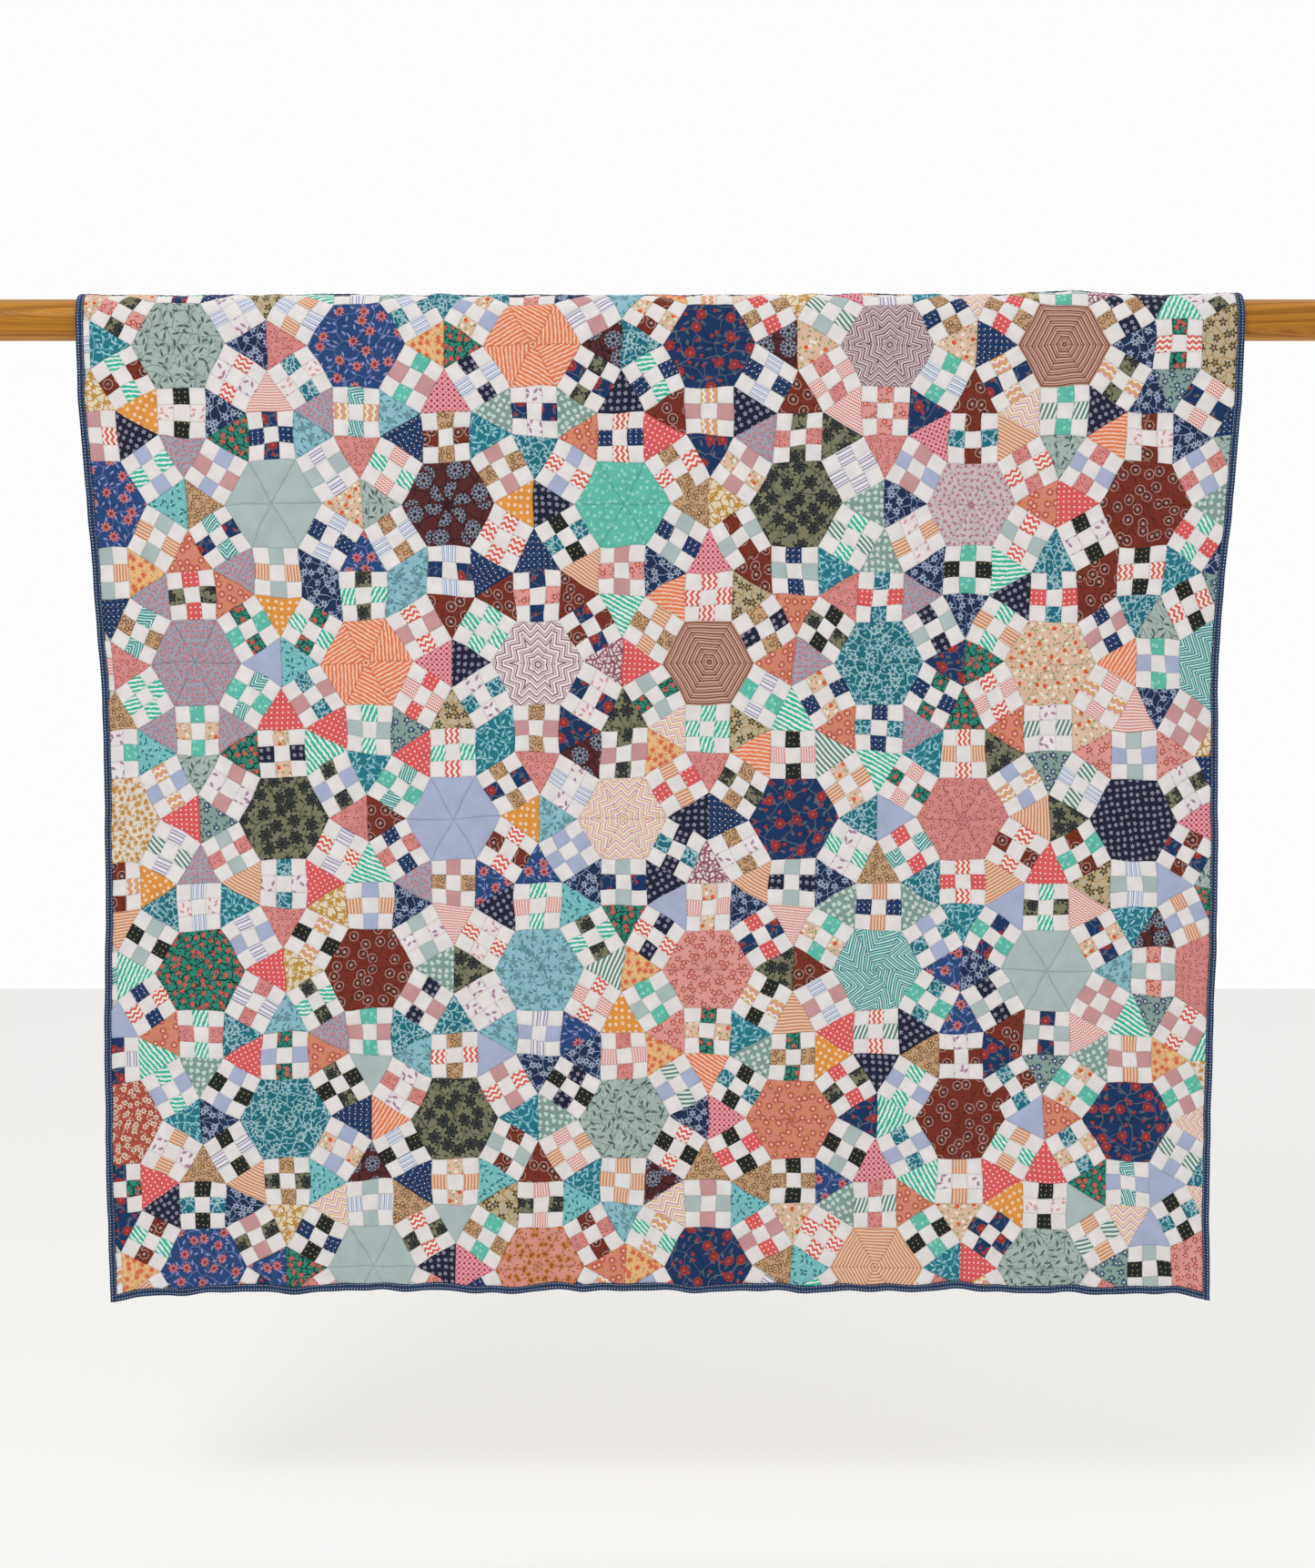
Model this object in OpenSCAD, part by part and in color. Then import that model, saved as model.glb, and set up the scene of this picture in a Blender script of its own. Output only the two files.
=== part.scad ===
// Patchwork quilt on a wall rack: a round wooden pole lies in two open cradles, and the quilt
// hangs from a cloth sleeve sewn along the top of its back. Millimetres, +Z up, wall at y = 0,
// the quilt's face towards -Y. The origin is the middle of the four wall screw holes.

/* [Pole] */
// Diameter of the round wooden pole
pole_d = 66.5; // [50:0.5:80]
// Bare pole between the quilt's side edge and the middle of a bracket
bare_pole = 253; // [180:1:400]
// Length of pole past the middle of each bracket
pole_past = 50; // [40:1:120]
// Height of the turned cap on each end of the pole
cap_h = 22; // [14:1:40]
// How far a cap stands out round the pole
cap_lip = 5; // [2:0.5:12]
// Diameter of the peg turned on each cap
peg_d = 20; // [12:1:30]
// Length of that peg
peg_l = 24; // [12:1:40]

/* [Brackets] */
// Distance from the wall to the middle of the pole
pole_out = 115; // [90:1:160]
// Height of the pole's middle above the middle of the screw holes
pole_rise = 20; // [10:1:30]
// Width of a wall plate
plate_w = 90; // [60:1:120]
// Height of a wall plate
plate_h = 160; // [140:1:220]
// Thickness of a wall plate
plate_t = 20; // [15:1:30]
// Radius of a wall plate's corners
plate_corner = 12; // [4:1:25]
// Width of a cradle arm
arm_w = 34; // [24:1:50]
// Wood left under the pole in a cradle
cradle_floor = 18; // [12:1:30]
// Wood left in front of the pole in a cradle
cradle_nose = 16; // [10:1:25]
// How far a cradle's sides rise above the pole's middle
cradle_rise = 8; // [2:1:16]
// Gap all round between the pole and a cradle
cradle_gap = 0.4; // [0.4:0.1:2]

/* [Screws] */
// Diameter of a wall screw hole
wall_hole_d = 5.5; // [4:0.1:8]
// Upright distance between a plate's two wall screw holes
wall_hole_gap = 120; // [100:1:180]
// Diameter of the countersink on a wall screw hole
wall_sink_d = 11; // [8:0.5:14]
// Diameter of the screws that hold an arm to its plate
screw_d = 5; // [4:0.1:7]
// Length of those screws
screw_l = 60; // [40:1:80]
// Upright distance between an arm's two screws
screw_gap = 26; // [16:1:34]
// Diameter of their countersunk heads
screw_head_d = 10; // [8:0.5:14]

/* [Patchwork] */
// Length of side of every hexagon wedge, triangle and nine-patch square
patch_side = 76.2; // [60:0.1:95]
// Whole hexagons in each row
columns = 6; // [3:1:7]
// Patchwork left of the middle of the half hexagons on the left edge
left_trim = 10; // [4:1:20]
// Patchwork trimmed off the outer triangles on the right edge
right_trim = 9; // [4:1:20]
// Patchwork left below the middles of the bottom row of hexagons
bottom_trim = 28; // [15:1:36]
// Gap that stands for a sewn seam between two patches
seam = 0.4; // [0.2:0.1:0.8]

/* [Quilt layers] */
// Thickness of the sewn patchwork
top_t = 0.8; // [0.4:0.1:1.5]
// Thickness of the batting
batting_t = 3; // [1.5:0.1:6]
// Thickness of the backing cloth
backing_t = 0.8; // [0.4:0.1:1.5]
// Width of the binding on the front and on the back
binding_w = 12; // [8:0.5:20]
// Thickness of the folded binding
binding_t = 0.6; // [0.4:0.1:1.2]
// How much longer the quilt hangs than it lies flat
hang_stretch = 1.02; // [1:0.005:1.05]

/* [Sleeve] */
// Thickness of the sleeve cloth
sleeve_t = 0.6; // [0.3:0.1:1.2]
// Gap between the sleeve and the pole
sleeve_gap = 0.4; // [0.3:0.1:2]
// How far the sleeve's lower seam lies below the pole's middle
sleeve_drop = 75; // [55:1:120]
// Width of the seam allowance under the sleeve
sleeve_seam = 6; // [3:1:12]
// How far the sleeve stops short of each side of the quilt
sleeve_short = 26; // [14:1:60]
// Distance from the sleeve's lower end to the line where the quilt starts to swing
swing_below = 5; // [3:0.5:20]
// Gap across that line
swing_gap = 2; // [2:0.1:4]

/* [Hidden] */
$fn = 96;
rows = 7; // rows of hexagons, each with its own nodes
eps = 0.01;
hole_play = 0.2; // round a screw in its plate
peg_play = 0.05; // round a cap's peg
thread_bite = 0.25; // how deep a screw's thread cuts the arm
tip_gap = 1; // bore left empty past the tip of a screw or a peg
over = 1; // how far a shape runs past what it cuts or joins
reach = 400; // taller and deeper than anything that it cuts

pole_r = pole_d / 2;
// Inner radius of each layer where it is wrapped on the pole
sleeve_r = pole_r + sleeve_gap;
binding_r = sleeve_r + sleeve_t;
backing_r = binding_r + binding_t;
batting_r = backing_r + backing_t;
top_r = batting_r + batting_t;
face_r = top_r + top_t;
binding_all = face_r + binding_t - binding_r; // the quilt with its binding, front to back
quarter = face_r * PI / 2; // cloth from the crest of the pole to its front

pitch = (2 + sqrt(3)) * patch_side;
row_pitch = pitch * sqrt(3) / 2;
hexagon_in = patch_side * sqrt(3) / 2; // from a hexagon's middle to its sides
wedge_out = patch_side / sqrt(3); // to the middle of a wedge
square_out = hexagon_in + patch_side / 2; // to the middle of a nine-patch square
ring_out = patch_side * (1 + 1 / sqrt(3)); // to the middle of a triangle between two squares
gap_out = hexagon_in + patch_side * (1 + sqrt(3) / 6); // to the middle of a gap triangle
slant = (patch_side + hexagon_in + patch_side / 2) / 2; // to a right-hand edge's turned squares
first_row = square_out; // cloth from the crest to the middles of the first hexagons

inner_w = (columns + 0.5) * pitch + left_trim - right_trim;
quilt_w = inner_w + 2 * binding_w;
inner_x = inner_w / 2;
edge_x = quilt_w / 2;
first_x = left_trim + pitch / 2 - inner_x;
ring_edge_x = first_x + (columns - 0.5) * pitch; // right sides of the last odd-row triangles

inner_end = first_row + (rows - 1) * row_pitch + bottom_trim; // cloth, crest to bottom binding
axis_y = -pole_out;
axis_z = pole_rise;
sleeve_end_z = axis_z - sleeve_drop - sleeve_seam;
swing_z = sleeve_end_z - swing_below;
inner_bottom_z = axis_z - (inner_end - quarter) * hang_stretch;
bottom_z = inner_bottom_z - binding_w;

bracket_x = edge_x + bare_pole;
pole_half = bracket_x + pole_past;
cradle_r = pole_r + cradle_gap;
arm_bottom = axis_z - cradle_r - cradle_floor;
arm_top = axis_z + cradle_rise;
arm_front = axis_y - cradle_r - cradle_nose;
arm_middle = (arm_top + arm_bottom) / 2;

binding_deg = binding_w / face_r * 180 / PI;
layer_deg = (binding_w - binding_t) / face_r * 180 / PI; // batting and backing in the top binding
layer_x = edge_x - binding_t;
hexagon_colours = [
    "powderblue", "seagreen", "lightsteelblue", "cornflowerblue", "darkseagreen", "firebrick",
    "navy"
];

// ---- rack ----

// Plate outline with round corners, from its own middle
module plate_outline() {
    for (x = [-1, 1], z = [-1, 1])
        translate([x * (plate_w / 2 - plate_corner), z * (plate_h / 2 - plate_corner)])
            circle(plate_corner);
    square([plate_w - 2 * plate_corner, plate_h], center = true);
    square([plate_w, plate_h - 2 * plate_corner], center = true);
}

// A countersunk hole through a plate along Y, with the sink on its front or its back
module plate_hole(hole_d, sink_d, sink_front) {
    depth = (sink_d - hole_d) / 2;
    rotate([90, 0, 0]) {
        translate([0, 0, -eps])
            cylinder(d = hole_d, h = plate_t + 2 * eps);
        if (sink_front)
            translate([0, 0, plate_t - depth])
                cylinder(d1 = hole_d, d2 = sink_d, h = depth);
        else
            cylinder(d1 = sink_d, d2 = hole_d, h = depth);
    }
}

module wall_plate(x) {
    color("burlywood")
        translate([x, 0, 0])
            difference() {
                rotate([90, 0, 0])
                    linear_extrude(plate_t)
                        plate_outline();
                for (z = [-1, 1])
                    translate([0, 0, z * wall_hole_gap / 2])
                        plate_hole(wall_hole_d, wall_sink_d, true);
                for (z = [-1, 1])
                    translate([0, 0, arm_middle + z * screw_gap / 2])
                        plate_hole(screw_d + 2 * hole_play, screw_head_d + 2 * hole_play, false);
            }
}

module left_wall_plate() {
    wall_plate(-bracket_x);
}

module right_wall_plate() {
    wall_plate(bracket_x);
}

// Side view of an arm: its underside rises to the nose, and the pole drops in from above
module arm_outline() {
    nose_r = cradle_nose / 2;
    difference() {
        union() {
            polygon([
                [-plate_t, arm_bottom], [-plate_t, arm_top], [arm_front + nose_r, arm_top],
                [arm_front, arm_top - nose_r], [arm_front, axis_z],
                [axis_y - cradle_r / 2, arm_bottom]
            ]);
            translate([arm_front + nose_r, arm_top - nose_r])
                circle(nose_r);
        }
        translate([axis_y, axis_z])
            circle(cradle_r);
        translate([axis_y - cradle_r, axis_z])
            square([2 * cradle_r, reach]);
    }
}

module cradle_arm(x) {
    color("burlywood")
        difference() {
            translate([x - arm_w / 2, 0, 0])
                rotate([90, 0, 90])
                    linear_extrude(arm_w)
                        arm_outline();
            for (z = [-1, 1])
                translate([x, -plate_t + eps, arm_middle + z * screw_gap / 2])
                    rotate([90, 0, 0])
                        cylinder(r = screw_d / 2 - thread_bite, h = screw_l - plate_t + tip_gap);
        }
}

module left_cradle_arm() {
    cradle_arm(-bracket_x);
}

module right_cradle_arm() {
    cradle_arm(bracket_x);
}

module arm_screws() {
    head_h = (screw_head_d - screw_d) / 2;
    color("silver")
        for (x = [-1, 1], z = [-1, 1])
            translate([x * bracket_x, -hole_play, arm_middle + z * screw_gap / 2])
                rotate([90, 0, 0]) {
                    cylinder(d1 = screw_head_d, d2 = screw_d, h = head_h);
                    cylinder(d = screw_d, h = screw_l);
                }
}

// ---- pole ----

module pole() {
    color("goldenrod")
        difference() {
            translate([-pole_half, axis_y, axis_z])
                rotate([0, 90, 0])
                    cylinder(d = pole_d, h = 2 * pole_half);
            for (side = [-1, 1])
                translate([side * pole_half, axis_y, axis_z])
                    rotate([0, -90 * side, 0])
                        translate([0, 0, -eps])
                            cylinder(d = peg_d + 2 * peg_play, h = peg_l + tip_gap);
        }
}

// A cap: a low dome with its peg, pointing along +X from the pole's end
module end_cap() {
    cap_r = pole_r + cap_lip;
    rim = cap_h / 2;
    dome = cap_h - rim;
    dome_r = (cap_r * cap_r + dome * dome) / (2 * dome);
    rotate([0, 90, 0]) {
        translate([0, 0, -peg_l])
            cylinder(d = peg_d, h = peg_l + over);
        intersection() {
            cylinder(r = cap_r, h = cap_h);
            translate([0, 0, cap_h - dome_r])
                sphere(dome_r);
        }
    }
}

module left_end_cap() {
    color("peru")
        translate([-pole_half, axis_y, axis_z])
            mirror([1, 0, 0])
                end_cap();
}

module right_end_cap() {
    color("peru")
        translate([pole_half, axis_y, axis_z])
            end_cap();
}

// ---- cloth wrapped on the pole ----

// Part of a tube round the pole's line. Angles count from the crest, and grow to the front.
module wrap(r, t, x_from, x_to, from_deg, to_deg) {
    translate([x_from, axis_y, axis_z])
        rotate([0, 90, 0])
            rotate([0, 0, 180 + from_deg])
                rotate_extrude(angle = to_deg - from_deg)
                    translate([r, 0])
                        square([t, x_to - x_from]);
}

// A flat layer hanging in front of the pole's line, from one height to another
module hang(r, t, x_from, x_to, z_from, z_to) {
    translate([x_from, axis_y - r - t, z_from])
        cube([x_to - x_from, t, z_to - z_from]);
}

// Side view of a layer that wraps the front of the pole and then hangs down, from the pole's
// middle: +X is towards the wall. It starts back_deg behind the crest.
module wrapped_outline(r, t, back_deg, drop) {
    difference() {
        union() {
            circle(r + t);
            translate([-r - t, -drop])
                square([r + t, drop]);
        }
        circle(r);
        translate([-r, -drop - over])
            square([reach, drop + over]);
        polygon([
            [0, 0], [reach * sin(back_deg), reach * cos(back_deg)], [reach, reach], [reach, 0]
        ]);
    }
}

// A side view drawn round the pole's middle, carried along the pole
module along_pole(x_from, x_to) {
    translate([x_from, axis_y, axis_z])
        rotate([90, 0, 90])
            linear_extrude(x_to - x_from)
                children();
}

// A layer of the band, down to the swing line
module band_layer(r, t, x_from, x_to, back_deg) {
    along_pole(x_from, x_to)
        wrapped_outline(r, t, back_deg, axis_z - swing_z - swing_gap / 2);
}

// A layer of the hanging part, from the swing line down
module drop_layer(r, t, x_from, x_to, z_from) {
    hang(r, t, x_from, x_to, z_from, swing_z - swing_gap / 2);
}

// A drop-shaped outline: round over the pole, then straight to a point under its front
module drop_outline(r, tip_drop) {
    rear_deg = 270 - 2 * atan(sleeve_drop / sleeve_r); // where the rear sheet leaves the pole
    circle(r);
    polygon([
        [0, 0], [-r, 0], [-r, -tip_drop], [r * sin(rear_deg), r * cos(rear_deg)]
    ]);
}

// The tube of cloth: over the crest, down the front to its seam, and back up behind the pole
module hanging_sleeve() {
    half = edge_x - sleeve_short;
    outer_r = sleeve_r + sleeve_t;
    color("wheat")
        along_pole(-half, half)
            difference() {
                union() {
                    drop_outline(outer_r, sleeve_drop * outer_r / sleeve_r);
                    translate([-outer_r, sleeve_end_z - axis_z])
                        square([sleeve_t, sleeve_drop]);
                }
                drop_outline(sleeve_r, sleeve_drop);
            }
}

module band_backing() {
    color("linen")
        band_layer(backing_r, backing_t, -layer_x, layer_x, layer_deg);
}

module band_batting() {
    color("white")
        band_layer(batting_r, batting_t, -layer_x, layer_x, layer_deg);
}

module backing() {
    color("linen")
        drop_layer(backing_r, backing_t, -layer_x, layer_x, bottom_z + binding_t);
}

module batting() {
    color("white")
        drop_layer(batting_r, batting_t, -layer_x, layer_x, bottom_z + binding_t);
}

// ---- binding: folded round the edges of the batting and the backing ----

module band_edge() {
    along_pole(-layer_x, layer_x)
        wrapped_outline(backing_r, top_r - backing_r, layer_deg, axis_z - swing_z + swing_gap);
}

module drop_edge() {
    hang(backing_r, top_r - backing_r, -layer_x, layer_x, bottom_z + binding_t, axis_z);
}

module top_binding() {
    color("midnightblue")
        difference() {
            wrap(binding_r, binding_all, -inner_x, inner_x, -binding_deg, 0);
            wrap(backing_r, top_r - backing_r, -layer_x, layer_x, -layer_deg, over);
        }
}

module band_side_binding(x_from, x_to) {
    color("midnightblue")
        difference() {
            band_layer(binding_r, binding_all, x_from, x_to, binding_deg);
            band_edge();
        }
}

module band_left_binding() {
    band_side_binding(-edge_x, -inner_x);
}

module band_right_binding() {
    band_side_binding(inner_x, edge_x);
}

module drop_side_binding(x_from, x_to) {
    color("midnightblue")
        difference() {
            drop_layer(binding_r, binding_all, x_from, x_to, bottom_z);
            drop_edge();
        }
}

module left_binding() {
    drop_side_binding(-edge_x, -inner_x);
}

module right_binding() {
    drop_side_binding(inner_x, edge_x);
}

module bottom_binding() {
    color("midnightblue")
        difference() {
            hang(binding_r, binding_all, -inner_x, inner_x, bottom_z, inner_bottom_z);
            drop_edge();
        }
}

// ---- patchwork, laid out as [x, cloth length down from the crest] ----

function height_of(cloth) =
    cloth < 0 ? axis_z + face_r - cloth
    : cloth < quarter ? axis_z + face_r * cos(cloth / face_r * 180 / PI)
    : axis_z - (cloth - quarter) * hang_stretch;

function toward(deg, distance) = distance * [cos(deg), sin(deg)];

// Corners of a regular patch less its share of the seams; corner_deg points to one corner
function patch(sides, middle, corner_deg) =
    let (inside = patch_side / 2 / tan(180 / sides))
    let (r = (inside - seam / 2) / cos(180 / sides))
    [for (i = [0 : sides - 1]) middle + toward(corner_deg + 360 * i / sides, r)];

function is_odd(row) = row % 2 == 1;
function row_start(row) = is_odd(row) ? first_x : first_x - pitch / 2;
function row_last(row) = is_odd(row) ? columns - 1 : columns;
function cloth_at(row) = first_row + (row - 1) * row_pitch;
function hexagon_at(row, i) = [row_start(row) + i * pitch, cloth_at(row)];

module draw(points) {
    polygon([for (p = points) [p[0], height_of(p[1])]]);
}

// The six wedges of each hexagon
module hexagon_shapes(row) {
    for (i = [0 : row_last(row)], k = [30 : 60 : 330])
        draw(patch(3, hexagon_at(row, i) + toward(k, wedge_out), k + 180));
}

// The nine-patch squares round each hexagon, and those that fill out the odd rows' two ends
module nine_patch_shapes(row) {
    for (i = [0 : row_last(row)], k = [30 : 60 : 330])
        draw(patch(4, hexagon_at(row, i) + toward(k, square_out), k + 45));
    if (is_odd(row)) {
        for (x = [first_x - pitch / 2 - patch_side / 2, ring_edge_x + patch_side / 2])
            draw(patch(4, [x, cloth_at(row)], 45));
        for (side = [-1, 1])
            draw(patch(4, [ring_edge_x + slant, cloth_at(row) + side * slant], side * 75));
    }
}

// The triangles between those squares, each with one corner on its hexagon's
module ring_triangle_shapes(row) {
    for (i = [0 : row_last(row)], k = [0 : 60 : 300])
        draw(patch(3, hexagon_at(row, i) + toward(k, ring_out), k + 180));
}

// Triangles between three squares: one row points down and the other up
module gap_triangle_shapes() {
    for (row = [0 : rows - 1], i = [0 : row_last(row)])
        draw(patch(3, hexagon_at(row, i) + toward(90, gap_out), 90));
    for (row = [2 : rows], i = [0 : row_last(row)])
        draw(patch(3, hexagon_at(row, i) + toward(270, gap_out), 270));
}

// What fills the right-hand end of an odd row beside its squares
module edge_patch_shapes(row) {
    half = patch_side / 2;
    far = patch_side + hexagon_in;
    notch = half + hexagon_in;
    middle = [ring_edge_x, cloth_at(row)];
    draw([for (p = [[patch_side, -half], [patch_side, half], [far, patch_side], [far, -patch_side]])
        middle + p + [seam / 2, 0]]);
    for (side = [-1, 1]) {
        draw(patch(3, middle + [half, side * (half + patch_side / 2 / sqrt(3))], side * 90));
        draw([for (p = [[notch, far], [far, patch_side], [far, far]])
            middle + [p[0] + seam, side * (p[1] - seam / 2)]]);
        draw([for (p = [[notch, far], [far, far + hexagon_in], [far, far]])
            middle + [p[0] + seam, side * (p[1] + seam / 2)]]);
    }
}

// Patches sewn on the hanging part, cut off at the swing line and the bindings
module on_drop() {
    translate([0, axis_y - top_r, 0])
        rotate([90, 0, 0])
            linear_extrude(top_t)
                intersection() {
                    translate([-inner_x, inner_bottom_z])
                        square([inner_w, swing_z - swing_gap / 2 - inner_bottom_z]);
                    children();
                }
}

// Patches sewn on the band, cut out of its wrapped layer
module on_band() {
    intersection() {
        band_layer(top_r, top_t, -inner_x, inner_x, 0);
        translate([0, axis_y + over, 0])
            rotate([90, 0, 0])
                linear_extrude(face_r + 2 * over)
                    children();
    }
}

module band_hexagons() {
    color("powderblue")
        on_band()
            hexagon_shapes(1);
}

module band_nine_patches() {
    color("white")
        on_band()
            nine_patch_shapes(1);
}

module band_ring_triangles() {
    color("teal")
        on_band()
            ring_triangle_shapes(1);
}

module band_gap_triangles() {
    color("salmon")
        on_band()
            gap_triangle_shapes();
}

module band_edge_patches() {
    color("khaki")
        on_band()
            edge_patch_shapes(1);
}

module row_hexagons(row) {
    color(hexagon_colours[row - 1])
        on_drop()
            hexagon_shapes(row);
}

module row_nine_patches(row) {
    color("white")
        on_drop()
            nine_patch_shapes(row);
}

module row_ring_triangles(row) {
    color("teal")
        on_drop()
            ring_triangle_shapes(row);
}

module gap_triangles() {
    color("salmon")
        on_drop()
            gap_triangle_shapes();
}

module edge_patches() {
    color("khaki")
        on_drop()
            for (row = [1 : 2 : rows])
                edge_patch_shapes(row);
}

left_wall_plate();
right_wall_plate();
left_cradle_arm();
right_cradle_arm();
arm_screws();
pole();
left_end_cap();
right_end_cap();
hanging_sleeve();
band_backing();
band_batting();
band_hexagons();
band_nine_patches();
band_ring_triangles();
band_gap_triangles();
band_edge_patches();
top_binding();
band_left_binding();
band_right_binding();
backing();
batting();
for (row = [1 : rows]) {
    row_hexagons(row);
    row_nine_patches(row);
    row_ring_triangles(row);
}
gap_triangles();
edge_patches();
left_binding();
right_binding();
bottom_binding();
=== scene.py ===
import math

import bmesh
import bpy
import numpy as np
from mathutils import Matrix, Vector


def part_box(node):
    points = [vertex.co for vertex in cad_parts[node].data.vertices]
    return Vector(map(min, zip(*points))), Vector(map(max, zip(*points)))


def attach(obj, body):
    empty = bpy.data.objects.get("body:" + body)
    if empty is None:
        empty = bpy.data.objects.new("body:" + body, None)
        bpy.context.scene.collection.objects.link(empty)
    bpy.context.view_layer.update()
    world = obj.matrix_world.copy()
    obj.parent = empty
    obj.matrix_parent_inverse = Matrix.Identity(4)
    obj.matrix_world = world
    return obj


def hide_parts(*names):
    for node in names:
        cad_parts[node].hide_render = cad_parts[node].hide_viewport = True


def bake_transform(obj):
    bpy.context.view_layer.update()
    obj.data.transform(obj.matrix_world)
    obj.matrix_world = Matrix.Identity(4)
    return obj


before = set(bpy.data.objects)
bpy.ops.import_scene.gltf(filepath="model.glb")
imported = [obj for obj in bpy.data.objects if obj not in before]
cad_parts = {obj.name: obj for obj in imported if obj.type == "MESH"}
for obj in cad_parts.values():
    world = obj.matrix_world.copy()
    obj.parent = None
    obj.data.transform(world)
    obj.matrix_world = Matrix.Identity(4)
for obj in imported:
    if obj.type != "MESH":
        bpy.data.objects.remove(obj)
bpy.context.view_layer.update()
print("frame loaded:", len(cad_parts), "nodes")


# quilt layout
quilt = {
    "patchSide": 0.0762,  # every patch's side, and a nine-patch square's
    "columns": 6,  # hexagons in an odd row; an even row starts half a pitch to the left
    "rows": 7,
    "leftTrim": 0.010,  # how much shows of the squares left of the odd rows
    "bindingWidth": 0.012,
    "stretch": 1.02,  # how much longer the quilt hangs than it lies flat
    "leastArea": 1.5e-5,  # smaller cut-off corners of patches are left out
    "seed": 11,  # picks the prints of triangles and small squares
}
side = quilt["patchSide"]
hexagonIn = side * math.sqrt(3) / 2  # middle of a hexagon to its sides
wedgeOut = side / math.sqrt(3)  # to the middle of a wedge
squareOut = hexagonIn + side / 2  # to the middle of a nine-patch square
ringOut = side * (1 + 1 / math.sqrt(3))  # to the middle of a triangle between two squares
gapOut = hexagonIn + side * (1 + math.sqrt(3) / 6)  # to the middle of a gap triangle
slant = (side + hexagonIn + side / 2) / 2  # to the turned squares of the right-hand edge
pitch = (2 + math.sqrt(3)) * side
rowPitch = pitch * math.sqrt(3) / 2

poleLow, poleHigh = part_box("pole")
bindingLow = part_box("bottom_binding")[0]
axisY, axisZ = (poleLow.y + poleHigh.y) / 2, (poleLow.z + poleHigh.z) / 2
poleRadius = (poleHigh.z - poleLow.z) / 2
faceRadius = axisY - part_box("row_3_hexagons")[0].y  # pole's middle to the quilt's face
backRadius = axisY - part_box("backing")[1].y  # and to the back of the backing
quarter = faceRadius * math.pi / 2  # cloth from the crest to the pole's front
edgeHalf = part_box("right_binding")[1].x
innerHalf = edgeHalf - quilt["bindingWidth"]
innerEnd = quarter + (axisZ - bindingLow.z - quilt["bindingWidth"]) / quilt["stretch"]
firstX = quilt["leftTrim"] + pitch / 2 - innerHalf
ringEdgeX = firstX + (quilt["columns"] - 0.5) * pitch


def toward(degrees, distance):
    return distance * np.array([math.cos(math.radians(degrees)), math.sin(math.radians(degrees))])


# Corners of a regular patch with one corner in the given direction.
def regularPatch(sides, middle, cornerDegrees):
    radius = side / 2 / math.sin(math.pi / sides)
    return np.array([middle + toward(cornerDegrees + 360 * k / sides, radius) for k in range(sides)])


# Middles of a row's hexagons as (across, cloth length down from the crest).
def rowMiddles(row):
    odd = row % 2 == 1
    count = quilt["columns"] + (0 if odd else 1)
    start = firstX if odd else firstX - pitch / 2
    return [np.array([start + i * pitch, squareOut + (row - 1) * rowPitch]) for i in range(count)]


# Cuts a patch along the quilt's four inner edges: each edge keeps the corners on its side and adds
# the points where the outline crosses it.
def cutToQuilt(corners):
    limits = [(0, 1, innerHalf), (0, -1, innerHalf), (1, 1, innerEnd), (1, -1, 0.0)]
    for axis, sign, limit in limits:
        kept = []
        for a, b in zip(corners, np.roll(corners, -1, axis=0)):
            da, db = limit - sign * a[axis], limit - sign * b[axis]
            if da >= -1e-9:
                kept.append(a)
            if (da > 1e-9 and db < -1e-9) or (da < -1e-9 and db > 1e-9):
                kept.append(a + (b - a) * da / (da - db))
        corners = np.array(kept)
        if len(corners) < 3:
            return None
    x, y = corners.T
    area = np.sum(x * np.roll(y, -1) - y * np.roll(x, -1)) / 2
    if abs(area) < quilt["leastArea"]:
        return None
    return corners if area < 0 else corners[::-1]


# how the quilt hangs
hang = {
    "pull": 0.031,  # share of the width that puckers and folds take up lower down
    "pullLength": 0.62,  # cloth length over which the sides draw in
    "rippleStart": 0.55,  # cloth length over which the ripples grow
    "ripples": [  # height, length, phase, lean
        (0.0042, 0.47, 0.4, 1.0), (0.0030, 0.29, 2.1, -1.4), (0.0016, 0.171, 4.0, 1.8)],
    "curlWidth": 0.13,  # width of the strip at each side that curls back
    "curlBack": 0.020,
    "curlWave": (0.25, 4),  # share by which the curl comes and goes down a side, and how fast
    "lowerLift": 0.007,  # how far the middle of the lower edge is drawn up
    "cornerDrop": 0.012,  # and how far its corners hang down
    "sag": 0.011,  # extra stretch half-way down
    "wobbles": [  # length, shift, phase: hand-cut patches never lie quite true
        (0.31, 0.0026, 0.3), (0.173, 0.0021, 1.1), (0.097, 0.0013, 2.0), (0.061, 0.0007, 4.4)],
    "wobbleCross": (0.7, 0.6),  # share of its waves that a wobble has crossways, sideways and down
    "cornerLength": 0.10,  # along the lower edge
    "stiffEdge": (0.20, 0.15),  # share of the wobble right at a side, and how far in it is all there
    "sideWave": (0.0024, 7.5, 1.3, 0.20),  # height, waves down, shift between sides, width of each side
    "crestLength": 0.030,  # how far the bumps reach from the crest
    "crestBumps": [  # middle, width, height
        (0.655, 0.085, 0.006), (-0.52, 0.05, 0.0015), (0.30, 0.12, 0.0015), (0.9, 0.05, 0.003)],
}
wrinkle = {"seed": 5, "count": 22, "longest": 0.090, "shortest": 0.024, "steepness": 0.0052}


def smoothStep(x):
    x = np.clip(x, 0.0, 1.0)
    return x * x * (3 - 2 * x)


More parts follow.
